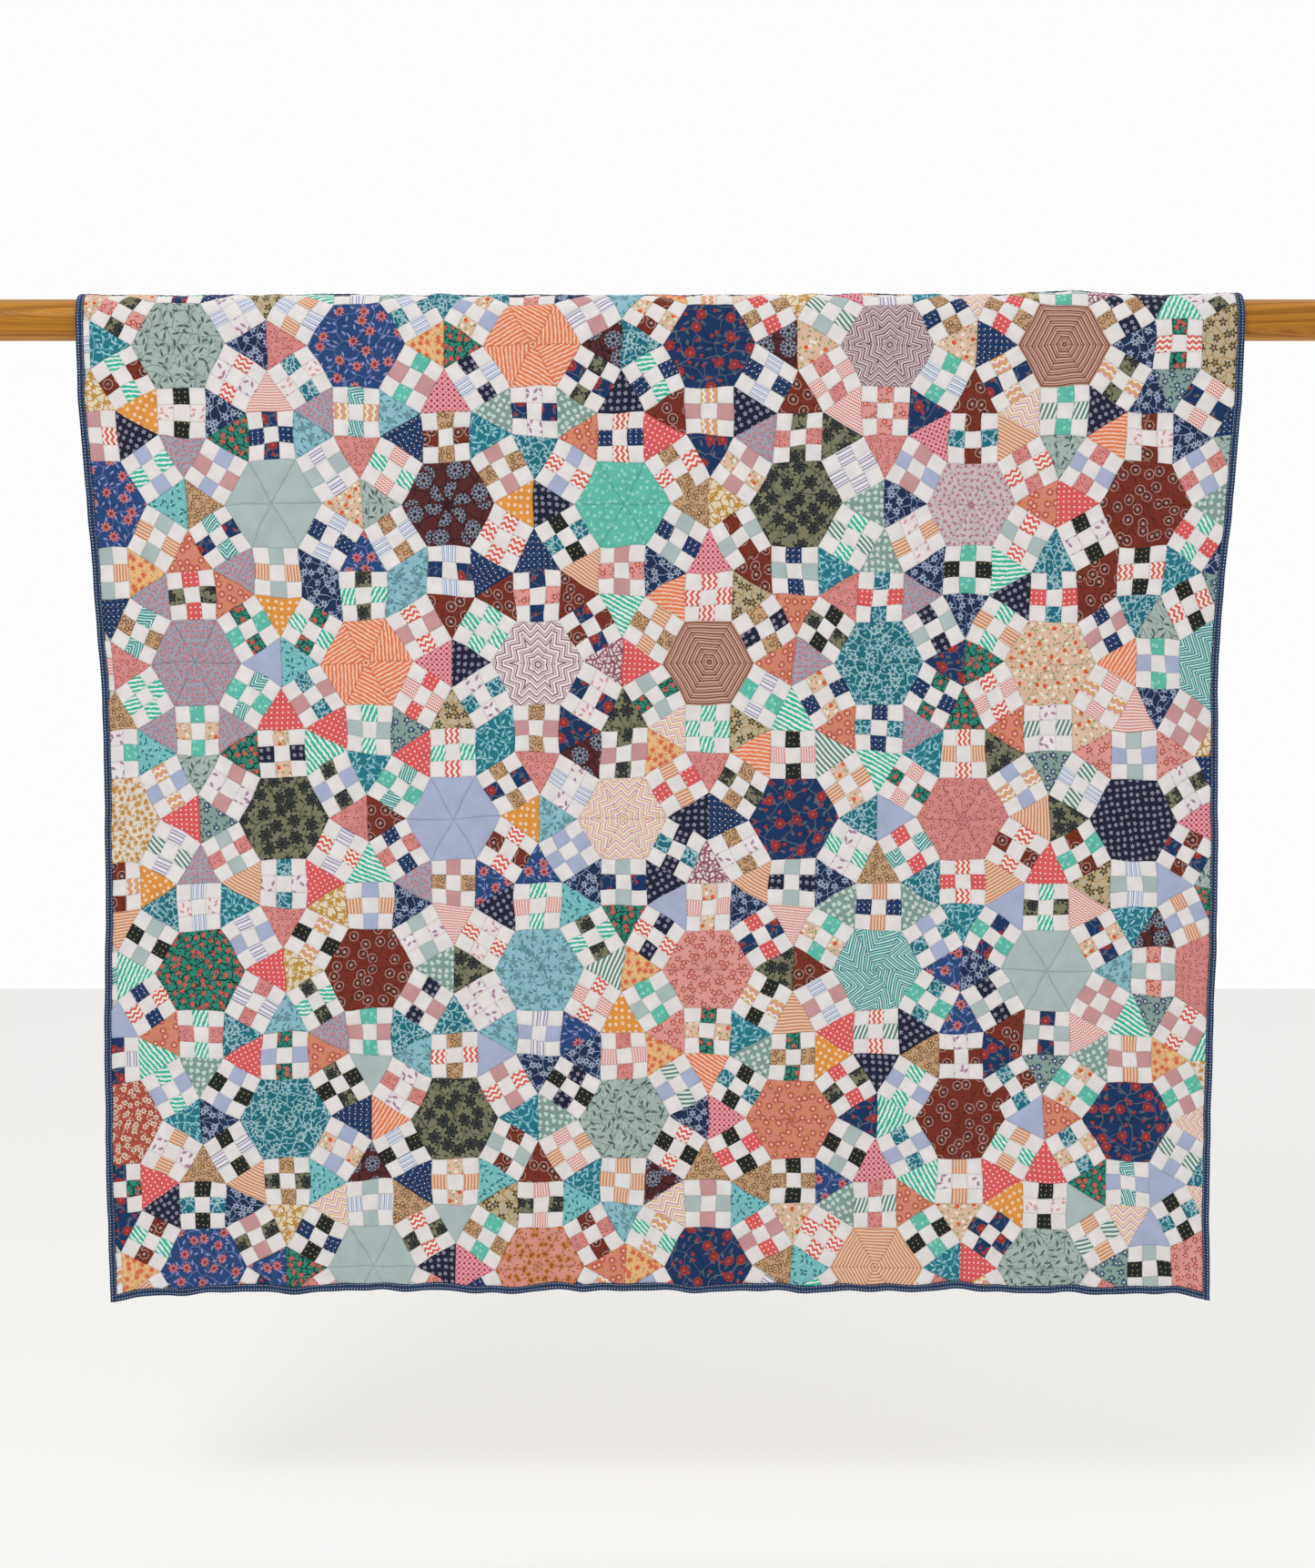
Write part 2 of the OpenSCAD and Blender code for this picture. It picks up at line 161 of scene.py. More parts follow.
# Point of the hanging quilt: down is the cloth length from the crest and out the distance in front
# of the quilt's face. Cloth turns round the pole by length / radius up to a quarter turn and then
# falls straight, with long ripples, sides that draw in and curl back, and a lower edge whose middle
# is drawn up.
def drape(across, down, out):
    fromEdge = edgeHalf - np.abs(across)
    least, stiffWidth = hang["stiffEdge"]
    inner = least + (1 - least) * smoothStep(fromEdge / stiffWidth)  # the sides stay nearly straight
    sideCross, downCross = hang["wobbleCross"]
    for length, shift, phase in hang["wobbles"]:
        k = 2 * math.pi / length
        sideways = shift * inner * np.sin(k * down + phase) * np.cos(sideCross * k * across + phase)
        downward = shift * np.sin(k * across + 2 * phase) * np.cos(downCross * k * down)
        across, down = across + sideways, down + downward
    turn = np.minimum(down, quarter) / faceRadius
    below = np.maximum(down - quarter, 0.0)
    crest = np.exp(-(down / hang["crestLength"]) ** 2)
    lifted = out
    for middle, width, height in hang["crestBumps"]:
        lifted = lifted + height * crest * np.exp(-((across - middle) / width) ** 2)
    radius = faceRadius + lifted
    grown = smoothStep(below / hang["pullLength"])
    x = across * (1 - hang["pull"] * grown)
    height, waves, apart, width = hang["sideWave"]
    hand = np.sign(across)
    x = x + hand * height * grown * np.sin(below * waves + apart * hand) * np.exp(-fromEdge / width)
    y = axisY - radius * np.sin(turn)
    for height, length, phase, lean in hang["ripples"]:
        y = y + height * smoothStep(below / hang["rippleStart"]) * np.sin(
            2 * math.pi * across / length + phase + lean * below)
    curl = smoothStep(1 - fromEdge / hang["curlWidth"])
    change, waves = hang["curlWave"]
    y = y + hang["curlBack"] * curl * grown * (1 - change + change * np.sin(below * waves + across))
    z = axisZ + radius * np.cos(turn) - below * quilt["stretch"]
    share = below / (innerEnd - quarter)
    lift = 1 - np.exp(-fromEdge / hang["cornerLength"])
    z = z + (hang["lowerLift"] * lift - hang["cornerDrop"] * (1 - lift)) * smoothStep(share)
    z = z - hang["sag"] * np.sin(math.pi * np.clip(share, 0, 1)) ** 2
    return np.stack([x, y, z], axis=-1)


# Height of the soft hollows that quilting leaves: a sum of sine waves whose directions and phases
# are drawn at random, each as high as its length times the steepness.
def wrinkles(across, down):
    chance = np.random.default_rng(wrinkle["seed"])
    height = np.zeros_like(across)
    for length in np.geomspace(wrinkle["longest"], wrinkle["shortest"], wrinkle["count"]):
        angle, phase = chance.uniform(0, 2 * math.pi, 2)
        height += length * wrinkle["steepness"] * np.sin(
            2 * math.pi / length * (across * math.cos(angle) + down * math.sin(angle)) + phase)
    return height


# One mesh object from whole arrays of points and faces, with its own uv map and seam distance.
def makePiece(name, points, faces, uv, seam, materialNumbers=None):
    mesh = bpy.data.meshes.new(name)
    mesh.from_pydata(points.tolist(), [], faces)
    if materialNumbers is not None:
        mesh.polygons.foreach_set("material_index", materialNumbers)
    mesh.polygons.foreach_set("use_smooth", np.full(len(mesh.polygons), True))
    corners = np.empty(len(mesh.loops), np.int32)
    mesh.loops.foreach_get("vertex_index", corners)
    layer = mesh.uv_layers.new(name="cloth")
    layer.data.foreach_set("uv", uv[corners].astype(np.float32).ravel())
    attribute = mesh.attributes.new("seam", "FLOAT", "POINT")
    attribute.data.foreach_set("value", seam.astype(np.float32))
    mesh.update()
    piece = bpy.data.objects.new(name, mesh)
    bpy.context.scene.collection.objects.link(piece)
    return piece


# materials
# sRGB hex to linear RGBA: each channel / 12.92 below 0.04045, else ((c + 0.055) / 1.055) ^ 2.4.
def linear(hexColour):
    channels = [int(hexColour[i:i + 2], 16) / 255 for i in (1, 3, 5)]
    return tuple(c / 12.92 if c <= 0.04045 else ((c + 0.055) / 1.055) ** 2.4 for c in channels) + (1.0,)


# Adds a shader node. An input is a number, another node (its first output) or a socket.
def addNode(tree, kind, inputs=None, **settings):
    node = tree.nodes.new("ShaderNode" + kind)
    for name, value in settings.items():
        setattr(node, name, value)
    for socket, value in (inputs or {}).items():
        if isinstance(value, bpy.types.Node):
            value = value.outputs[0]
        if isinstance(value, bpy.types.NodeSocket):
            tree.links.new(value, node.inputs[socket])
        else:
            node.inputs[socket].default_value = value
    return node


# A new material with its node tree and its shader, whose inputs are set from the finish.
def newMaterial(name, finish):
    material = bpy.data.materials.new(name)
    material.use_nodes = True
    shader = material.node_tree.nodes["Principled BSDF"]
    for socket, value in finish.items():
        shader.inputs[socket].default_value = value
    return material, material.node_tree, shader


# below where mask is 0 and colour where it is 1.
def layerColour(tree, below, mask, colour):
    return addNode(tree, "Mix", {0: mask, 6: below, 7: linear(colour)}, data_type="RGBA").outputs[2]


# Stripes: the distance across them, bent by a triangle wave (zigzags) or by noise (brushed edges),
# divided by the period, whose remainder picks the colour.
def bandColours(tree, uv, spec):
    period = spec["period"] / 1000
    turned = addNode(tree, "VectorRotate", {0: uv, "Angle": math.radians(spec.get("turn", 0))},
                     rotation_type="Z_AXIS")
    parts = addNode(tree, "SeparateXYZ", {0: turned})
    height = parts.outputs[1]
    if "zigzag" in spec:
        wave, rise = spec["zigzag"]
        tooth = addNode(tree, "Math", {0: parts.outputs[0], 1: wave / 2000}, operation="PINGPONG")
        height = addNode(tree, "Math", {0: tooth, 1: rise * 2 / wave, 2: height},
                         operation="MULTIPLY_ADD").outputs[0]
    if "wobble" in spec:
        noise = addNode(tree, "TexNoise", {0: turned, "Scale": 160.0, "Detail": 1.0})
        height = addNode(tree, "Math", {0: noise, 1: spec["wobble"] / 1000, 2: height},
                         operation="MULTIPLY_ADD").outputs[0]
    share = addNode(tree, "Math", {0: height, 1: period}, operation="DIVIDE")
    share = addNode(tree, "Math", {0: share}, operation="FRACT")
    ramp = addNode(tree, "ValToRGB", {0: share})
    stops = ramp.color_ramp.elements
    ramp.color_ramp.interpolation = "CONSTANT"
    for place, colour in spec["bands"]:
        stop = stops[0] if place == 0 else stops.new(place)
        stop.color = linear(colour)
    stops.remove(stops[len(stops) - 1])
    return ramp.outputs[0]


# 1 on a printed motif and 0 off it. Motifs sit in Voronoi cells a pitch apart, each turned by its
# cell's own random number: a bloom is radius < size (1 + depth cos(petals angle)), a leaf is (x /
# length)^2 + |y| / width < 1, a ring is | radius - size | < width, and a vine is the line between
# two cells, bent by noise.
def motifMask(tree, uv, kind, pitch, size, more):
    shift = more["shift"]
    moved = addNode(tree, "VectorMath", {0: uv, 1: (shift * 0.113, shift * 0.071, 0)}, operation="ADD")
    if kind == "vine":
        noise = addNode(tree, "TexNoise", {0: moved, "Scale": 900 / pitch, "Detail": 0.0}).outputs[1]
        bent = addNode(tree, "VectorMath", {0: noise, 1: (pitch / 1100,) * 3, 2: moved},
                       operation="MULTIPLY_ADD")
        cells = addNode(tree, "TexVoronoi", {"Vector": bent, "Scale": 1000 / pitch},
                        voronoi_dimensions="2D", feature="DISTANCE_TO_EDGE")
        distance = addNode(tree, "Math", {0: cells, 1: pitch / 1000}, operation="MULTIPLY")
        return addNode(tree, "MapRange", {0: distance, 1: size / 1000, 2: size / 1400, 3: 0.0, 4: 1.0})
    cells = addNode(tree, "TexVoronoi", {"Vector": moved, "Scale": 1000 / pitch,
                                         "Randomness": more["jitter"]},
                    voronoi_dimensions="2D")
    local = addNode(tree, "VectorMath", {0: moved, 1: cells.outputs["Position"]}, operation="SUBTRACT")
    radius = addNode(tree, "VectorMath", {0: local}, operation="LENGTH").outputs["Value"]
    if kind == "dot":
        return addNode(tree, "MapRange", {0: radius, 1: size / 900, 2: size / 1150, 3: 0.0, 4: 1.0})
    if kind == "ring":
        off = addNode(tree, "Math", {0: radius, 1: size / 1000}, operation="SUBTRACT")
        off = addNode(tree, "Math", {0: off}, operation="ABSOLUTE")
        width = more["width"] / 1000
        return addNode(tree, "MapRange", {0: off, 1: width, 2: width * 0.6, 3: 0.0, 4: 1.0})
    angle = addNode(tree, "Math", {0: cells.outputs["Color"], 1: 14.0}, operation="MULTIPLY")
    turned = addNode(tree, "VectorRotate", {0: local, "Angle": angle}, rotation_type="Z_AXIS")
    if kind == "leaf":
        scaled = addNode(tree, "VectorMath",
                         {0: turned, 1: (1000 / size, 1000 / more["width"], 0)},
                         operation="MULTIPLY")
        parts = addNode(tree, "SeparateXYZ", {0: scaled})
        along = addNode(tree, "Math", {0: parts.outputs[0], 1: parts.outputs[0]}, operation="MULTIPLY")
        across = addNode(tree, "Math", {0: parts.outputs[1]}, operation="ABSOLUTE")
        total = addNode(tree, "Math", {0: along, 1: across}, operation="ADD")
        return addNode(tree, "MapRange", {0: total, 1: 1.12, 2: 0.88, 3: 0.0, 4: 1.0})
    parts = addNode(tree, "SeparateXYZ", {0: turned})
    heading = addNode(tree, "Math", {0: parts.outputs[1], 1: parts.outputs[0]}, operation="ARCTAN2")
    heading = addNode(tree, "Math", {0: heading, 1: float(more["petals"])}, operation="MULTIPLY")
    petal = addNode(tree, "Math", {0: heading}, operation="COSINE")
    limit = addNode(tree, "Math", {0: petal, 1: size / 1000 * more["depth"], 2: size / 1000},
                    operation="MULTIPLY_ADD")
    inside = addNode(tree, "Math", {0: limit, 1: radius}, operation="SUBTRACT")
    return addNode(tree, "MapRange", {0: inside, 1: -0.0002, 2: 0.0002, 3: 0.0, 4: 1.0})


# Each print is a ground colour or a set of bands, and motifs printed over it in turn:
# (kind, pitch mm, size mm, colour, what isn't usual). Motifs with the same shift share their cells.
usualMotif = {"shift": 1, "jitter": 0.75, "petals": 6, "depth": 0.3}
prints = {
    "whiteCotton": {"ground": "#efeae8"},
    "plainSage": {"ground": "#b4c4c3"},
    "plainPeriwinkle": {"ground": "#b0b9d6"},
    "plainDustyPink": {"ground": "#cf9b9d"},
    "navyCoralFloral": {"ground": "#2b4a7d", "motifs": [
        ("vine", 30, 0.9, "#6976ab", {"shift": 0}),
        ("leaf", 14, 4.6, "#8b95c8", {"width": 1.7, "shift": 2}),
        ("bloom", 30, 6.6, "#dc7d76", {"petals": 8}),
        ("bloom", 30, 3.2, "#8c3a46", {})]},
    "royalRedFloral": {"ground": "#193763", "motifs": [
        ("vine", 33, 0.7, "#6b6a78", {"shift": 3}),
        ("leaf", 19, 5.8, "#5d6470", {"width": 2.2, "shift": 4}),
        ("bloom", 23, 3.0, "#a83a38", {"petals": 3, "depth": 0.25, "shift": 5}),
        ("bloom", 37, 7.8, "#b23f3b", {"petals": 9, "depth": 0.12}),
        ("bloom", 37, 5.6, "#7c2b33", {"petals": 9}),
        ("bloom", 37, 3.0, "#c4524a", {})]},
    "rustPaisley": {"ground": "#7a3224", "motifs": [
        ("ring", 24, 7.6, "#c2aea6", {"width": 0.6}),
        ("leaf", 24, 6.4, "#33191a", {"width": 3.4}),
        ("bloom", 24, 2.4, "#b9a39b", {"depth": 0.4}),
        ("leaf", 12, 2.6, "#33191a", {"width": 0.8, "shift": 6})]},
    "oliveBlooms": {"ground": "#807f66", "motifs": [
        ("vine", 26, 1.0, "#4d4f43", {"shift": 2}),
        ("leaf", 13, 4.2, "#42463d", {"width": 1.9, "shift": 5}),
        ("bloom", 27, 10.0, "#22272c", {"petals": 7, "depth": 0.2, "jitter": 0.5}),
        ("bloom", 27, 6.4, "#4c4d45", {"petals": 7, "depth": 0.35, "jitter": 0.5}),
        ("bloom", 27, 4.4, "#262b31", {"petals": 5, "jitter": 0.5})]},
    "burgundyMedallions": {"ground": "#592a2b", "motifs": [
        ("vine", 17, 1.2, "#231b20", {"shift": 2}),
        ("bloom", 36, 13.0, "#8794a8", {"petals": 12, "depth": 0.08, "jitter": 0.4}),
        ("bloom", 36, 11.2, "#3d2427", {"petals": 8, "depth": 0.12, "jitter": 0.4}),
        ("bloom", 36, 8.0, "#8793a5", {"petals": 8, "depth": 0.35, "jitter": 0.4}),
        ("bloom", 36, 3.4, "#3b2023", {"depth": 0.2, "jitter": 0.4})]},
    "mintSprigs": {"ground": "#63c2ae", "motifs": [
        ("ring", 13, 2.3, "#9be0cd", {"width": 0.5}),
        ("leaf", 13, 3.4, "#a9e6d6", {"width": 0.8}),
        ("dot", 13, 0.8, "#c9f0e6", {"shift": 3})]},
    "mintWaves": {"bands": [(0, "#3fbf9f"), (0.55, "#eef4f1")], "period": 7.2, "wobble": 4.5, "turn": 25},
    "orangeWaves": {"bands": [(0, "#ee8255"), (0.62, "#f6d2c0")], "period": 6.2, "wobble": 4.0,
                    "turn": 32},
    "peachStripes": {"bands": [(0, "#d58c62"), (0.5, "#f0d2bb")], "period": 5.2, "wobble": 1.0},
    "pinkRoses": {"ground": "#d4c4ca", "motifs": [
        ("leaf", 8.5, 2.6, "#6c5a60", {"width": 0.6, "shift": 2}),
        ("bloom", 11.5, 2.5, "#c0797f", {"petals": 5, "depth": 0.2, "jitter": 0.3})]},
    "greyCoralBuds": {"ground": "#a8a6b4", "motifs": [
        ("leaf", 7.5, 2.4, "#75748a", {"width": 0.8, "shift": 2}),
        ("bloom", 9.5, 2.5, "#cf8086", {"petals": 5, "depth": 0.25, "jitter": 0.5})]},
    "mauveZigzag": {"bands": [(0, "#f3eae9"), (0.36, "#946c79"), (0.62, "#f3eae9"), (0.8, "#b0909a")],
                    "period": 12.0, "zigzag": (25.4, 12)},
    "plumZigzag": {"bands": [(0, "#e0d2d2"), (0.3, "#7b5864"), (0.58, "#e0d2d2"), (0.78, "#907079")],
                   "period": 11.0, "zigzag": (25.4, 12)},
    "creamZigzag": {"bands": [(0, "#f5eadf"), (0.34, "#e2b878"), (0.56, "#f5eadf"), (0.78, "#d793ae")],
                    "period": 12.0, "zigzag": (25.4, 12)},
    "aquaZigzag": {"bands": [(0, "#e3efed"), (0.2, "#2b9f90"), (0.5, "#d8ece8"), (0.66, "#315485"),
                             (0.8, "#52b5a7")], "period": 13.0, "zigzag": (50, 30), "turn": 30,
                   "wobble": 2.5},
    "tanStripes": {"bands": [(0, "#cfa28d"), (0.24, "#6b3933"), (0.42, "#b57e6c"), (0.62, "#dfc4b2"),
                             (0.8, "#8b5548")], "period": 8.6, "wobble": 0.4},
    "tealVines": {"ground": "#227080", "motifs": [
        ("vine", 16, 1.0, "#9fc6cd", {"shift": 2}),
        ("leaf", 10, 3.2, "#8fbcc5", {"width": 1.5, "shift": 3}),
        ("bloom", 25, 6.0, "#b9d6da", {"petals": 7, "depth": 0.35}),
        ("bloom", 25, 3.6, "#2c7886", {"petals": 7, "depth": 0.35})]},
    "tealLeaves": {"ground": "#267a8a", "motifs": [
        ("leaf", 11, 5.2, "#97cdd6", {"width": 1.7}),
        ("vine", 18, 0.7, "#8ac3cd", {"shift": 2})]},
    "peachFruit": {"ground": "#e6c2aa", "motifs": [
        ("leaf", 11, 3.0, "#7fa35c", {"width": 1.3, "shift": 2}),
        ("bloom", 16, 3.0, "#f3ead9", {"petals": 5, "shift": 7}),
        ("dot", 25, 3.6, "#e0602f", {}),
        ("dot", 13, 1.2, "#e3b04a", {"shift": 5}),
        ("dot", 17, 1.2, "#b23b34", {"shift": 4})]},
    "mustardFloral": {"ground": "#ebdccb", "motifs": [
        ("leaf", 9, 3.0, "#b08d4c", {"width": 1.0, "shift": 2}),
        ("bloom", 12, 3.6, "#c98f3c", {"depth": 0.35})]},
    "goldOnCream": {"ground": "#ecdcbf", "motifs": [
        ("vine", 13, 1.1, "#bd8a3a", {"shift": 2}),
        ("bloom", 15, 4.4, "#c69443", {"petals": 5, "depth": 0.35})]},
    "dustyPinkBuds": {"ground": "#de8f8c", "motifs": [
        ("leaf", 9.5, 2.6, "#8d5c4c", {"width": 0.9, "shift": 2}),
        ("bloom", 13, 2.9, "#b64d49", {"petals": 5, "jitter": 0.5}),
        ("bloom", 13, 1.4, "#f0b9b2", {"petals": 5, "jitter": 0.5})]},
    "midnightBuds": {"ground": "#1e2338", "motifs": [
        ("bloom", 11.5, 2.7, "#aaa5b8", {"petals": 5, "depth": 0.35, "jitter": 0.25}),
        ("dot", 11.5, 1.0, "#3a3a55", {"jitter": 0.25})]},
    "navyDots": {"ground": "#1e3865", "motifs": [
        ("leaf", 10, 2.6, "#9a8168", {"width": 0.7, "jitter": 0.1}),
        ("dot", 9, 1.0, "#e9e8ea", {"shift": 0, "jitter": 0.0})]},
    "navyFlowers": {"ground": "#1e3154", "motifs": [
        ("vine", 16, 0.8, "#8793ad", {"shift": 2}),
        ("bloom", 17, 4.6, "#a9b4c9", {"depth": 0.35}),
        ("bloom", 17, 1.8, "#2c4064", {"depth": 0.35})]},
    "emeraldFloral": {"ground": "#2f8d79", "motifs": [
        ("vine", 13, 1.0, "#18302e", {"shift": 2}),
        ("bloom", 15, 4.6, "#24403c", {}),
        ("bloom", 15, 4.0, "#cf6259", {}),
        ("leaf", 9, 2.6, "#1b3a36", {"width": 1.0, "shift": 4})]},
    "aquaSprigs": {"ground": "#93c4cf", "motifs": [
        ("leaf", 12, 4.8, "#568a93", {"width": 1.7}),
        ("bloom", 25, 5.4, "#6d979f", {"petals": 5, "depth": 0.4, "shift": 2}),
        ("vine", 25, 0.6, "#6b9ea6", {"shift": 2})]},
    "sageSprigs": {"ground": "#afbdb8", "motifs": [
        ("vine", 27, 0.8, "#7e928a", {"shift": 2}),
        ("leaf", 15, 6.2, "#4f6861", {"width": 1.9}),
        ("leaf", 11, 2.8, "#7b9189", {"width": 1.0, "shift": 3})]},
    "salmonFlowers": {"ground": "#e69e97", "motifs": [
        ("leaf", 11, 3.0, "#95604f", {"width": 1.1, "shift": 2}),
        ("bloom", 17, 4.4, "#bd524d", {"petals": 5}),
        ("bloom", 17, 1.8, "#f0c2a8", {"petals": 5})]},
    "redCreamFlowers": {"ground": "#b25244", "motifs": [
        ("leaf", 9, 2.8, "#dcb694", {"width": 1.0, "shift": 2}),
        ("bloom", 13, 4.0, "#ecdac6", {}),
        ("bloom", 13, 1.7, "#9c3a2c", {})]},
    "orangePinkFloral": {"ground": "#dd8a77", "motifs": [
        ("leaf", 10, 3.2, "#c99034", {"width": 1.3, "shift": 2}),
        ("bloom", 16, 5.2, "#bb4c38", {"petals": 8, "depth": 0.25}),
        ("bloom", 16, 2.6, "#efb9a9", {"petals": 8, "depth": 0.25})]},
    "coralPinkMustard": {"ground": "#e29a8c", "motifs": [
        ("leaf", 9.5, 3.0, "#a8622e", {"width": 1.2, "shift": 2}),
        ("bloom", 15, 4.8, "#c9813b", {}),
        ("bloom", 15, 2.2, "#a54434", {})]},
    "coralDots": {"ground": "#e45e60",
     "motifs": [("dot", 8.2, 1.3, "#fdf1ee", {"shift": 0, "jitter": 0.0})]},
    "blackGoldDots": {"ground": "#1f2626",
     "motifs": [("dot", 8.5, 1.1, "#b79b5d", {"shift": 0, "jitter": 0.3})]},
    "maroonLace": {"ground": "#e8dcdc", "motifs": [
        ("vine", 10, 1.9, "#96586a", {"shift": 2}),
        ("bloom", 14, 4.6, "#8e5062", {"petals": 8}),
        ("bloom", 14, 2.4, "#ead9da", {"petals": 8})]},
    "beigePaisley": {"ground": "#cba37d", "motifs": [
        ("ring", 10, 3.0, "#5c4335", {"width": 0.8}),
        ("dot", 10, 1.2, "#ddb26a", {}),
        ("leaf", 7, 2.0, "#8a5b43", {"width": 0.8, "shift": 2})]},
    "coralChevrons": {"bands": [(0, "#e2604f"), (0.5, "#f8eeea")], "period": 9.0, "zigzag": (11, 4.4)},
    "coralFineZigzag": {"bands": [(0, "#db6d62"), (0.45, "#f7ebe7")], "period": 4.4, "zigzag": (5, 2.2)},
    "pinkChevrons": {"bands": [(0, "#e2a09e"), (0.33, "#f5ecdf"), (0.66, "#dcae62")], "period": 12.0,
                     "zigzag": (11, 4.4)},
    "blueTicking": {"bands": [(0, "#e9ecf1"), (0.42, "#7a90bd"), (0.6, "#e9ecf1"), (0.8, "#a9b7d3")],
                    "period": 8.0},
    "lilacStripes": {"bands": [(0, "#efecee"), (0.4, "#a693c8"), (0.58, "#efecee"), (0.78, "#9aa0b0")],
                     "period": 11.0},
    "sageStripes": {"bands": [(0, "#64897d"), (0.5, "#e9efeb")], "period": 7.0, "turn": 20},
    "plumPetals": {"ground": "#f0e9ea",
     "motifs": [("leaf", 13, 5.4, "#b18aa4", {"width": 2.3, "shift": 0})]},
    "pinkLeaves": {"ground": "#f2e8e7",
     "motifs": [("leaf", 12, 4.8, "#dba39f", {"width": 2.0, "shift": 0})]},
    "greyGreenBlobs": {"ground": "#86a29a", "motifs": [
        ("bloom", 11, 3.5, "#cddcd6", {"petals": 3, "depth": 0.15, "shift": 0, "jitter": 0.4})]},
    "orangeBlossoms": {"ground": "#ea9a45", "motifs": [
        ("bloom", 11.5, 2.5, "#f8ead8", {"petals": 5, "depth": 0.2, "shift": 0, "jitter": 0.3}),
        ("dot", 11.5, 0.8, "#dd8a3c", {"shift": 0, "jitter": 0.3})]},
    "redScales": {"ground": "#d8657a", "motifs": [
        ("ring", 8.5, 3.5, "#f0b4ba", {"width": 0.9, "shift": 0, "jitter": 0.0}),
        ("dot", 8.5, 1.3, "#8f2742", {"shift": 0, "jitter": 0.0})]},
    "beigeBlooms": {"ground": "#c3b597", "motifs": [
        ("vine", 15, 0.9, "#b08a3e", {"shift": 2}),
        ("bloom", 18, 5.4, "#4c4939", {"petals": 5, "depth": 0.35}),
        ("bloom", 18, 2.0, "#b79a5a", {"petals": 5, "depth": 0.35})]},
    "turquoiseLeaves": {"ground": "#7cc4c6", "motifs": [
        ("leaf", 11, 4.4, "#2f7880", {"width": 1.6}), ("dot", 9, 0.8, "#dff0ef", {"shift": 2})]},
    "sageNavyFloral": {"ground": "#8da59d", "motifs": [
        ("leaf", 11, 3.6, "#3f5c64", {"width": 1.4, "shift": 2}),
        ("bloom", 17, 4.8, "#2d436a", {}),
        ("bloom", 17, 2.0, "#c9d2cf", {})]},
    "yellowCoral": {"ground": "#efbf86", "motifs": [
        ("leaf", 10, 2.6, "#b98a52", {"width": 0.9, "shift": 2}),
        ("bloom", 14, 4.2, "#de6c4f", {})]},
    "navyBinding": {"ground": "#263c5d", "motifs": [
        ("dot", 4.6, 0.62, "#dfe3ea", {"shift": 0, "jitter": 0.0}),
        ("leaf", 9.2, 1.5, "#7e6a5c", {"width": 0.5, "shift": 1.37, "jitter": 0.2})]},
}
cloth = {
    "thread": 0.9,  # mm between threads; the real 0.3 mm is too fine to show, so it is drawn coarser
    "threadHeight": 0.00005,
    "pucker": 9.0,  # mm between the puckers along a seam
    "puckerHeight": 0.00085,
    "puckerReach": 0.014,  # from a seam, where they are down to a quarter of that
    "creaseHeight": 0.0011,
    "creases": 38.0,  # per metre
    "blotches": 35.0,  # of worn colour, per metre
    "blotchShade": (0.93, 1.05),
    "yarnShade": (0.94, 1.04),
    "seamShade": 0.92,  # painted shade: share of the colour kept right in a seam, standing in for the shade in its groove
    "seamReach": 0.0020,  # and how far from it the colour is whole
    "finish": {"Roughness": 0.88, "IOR": 1.5, "Specular IOR Level": 0.2, "Sheen Weight": 0.06,
               "Sheen Roughness": 0.5},
}
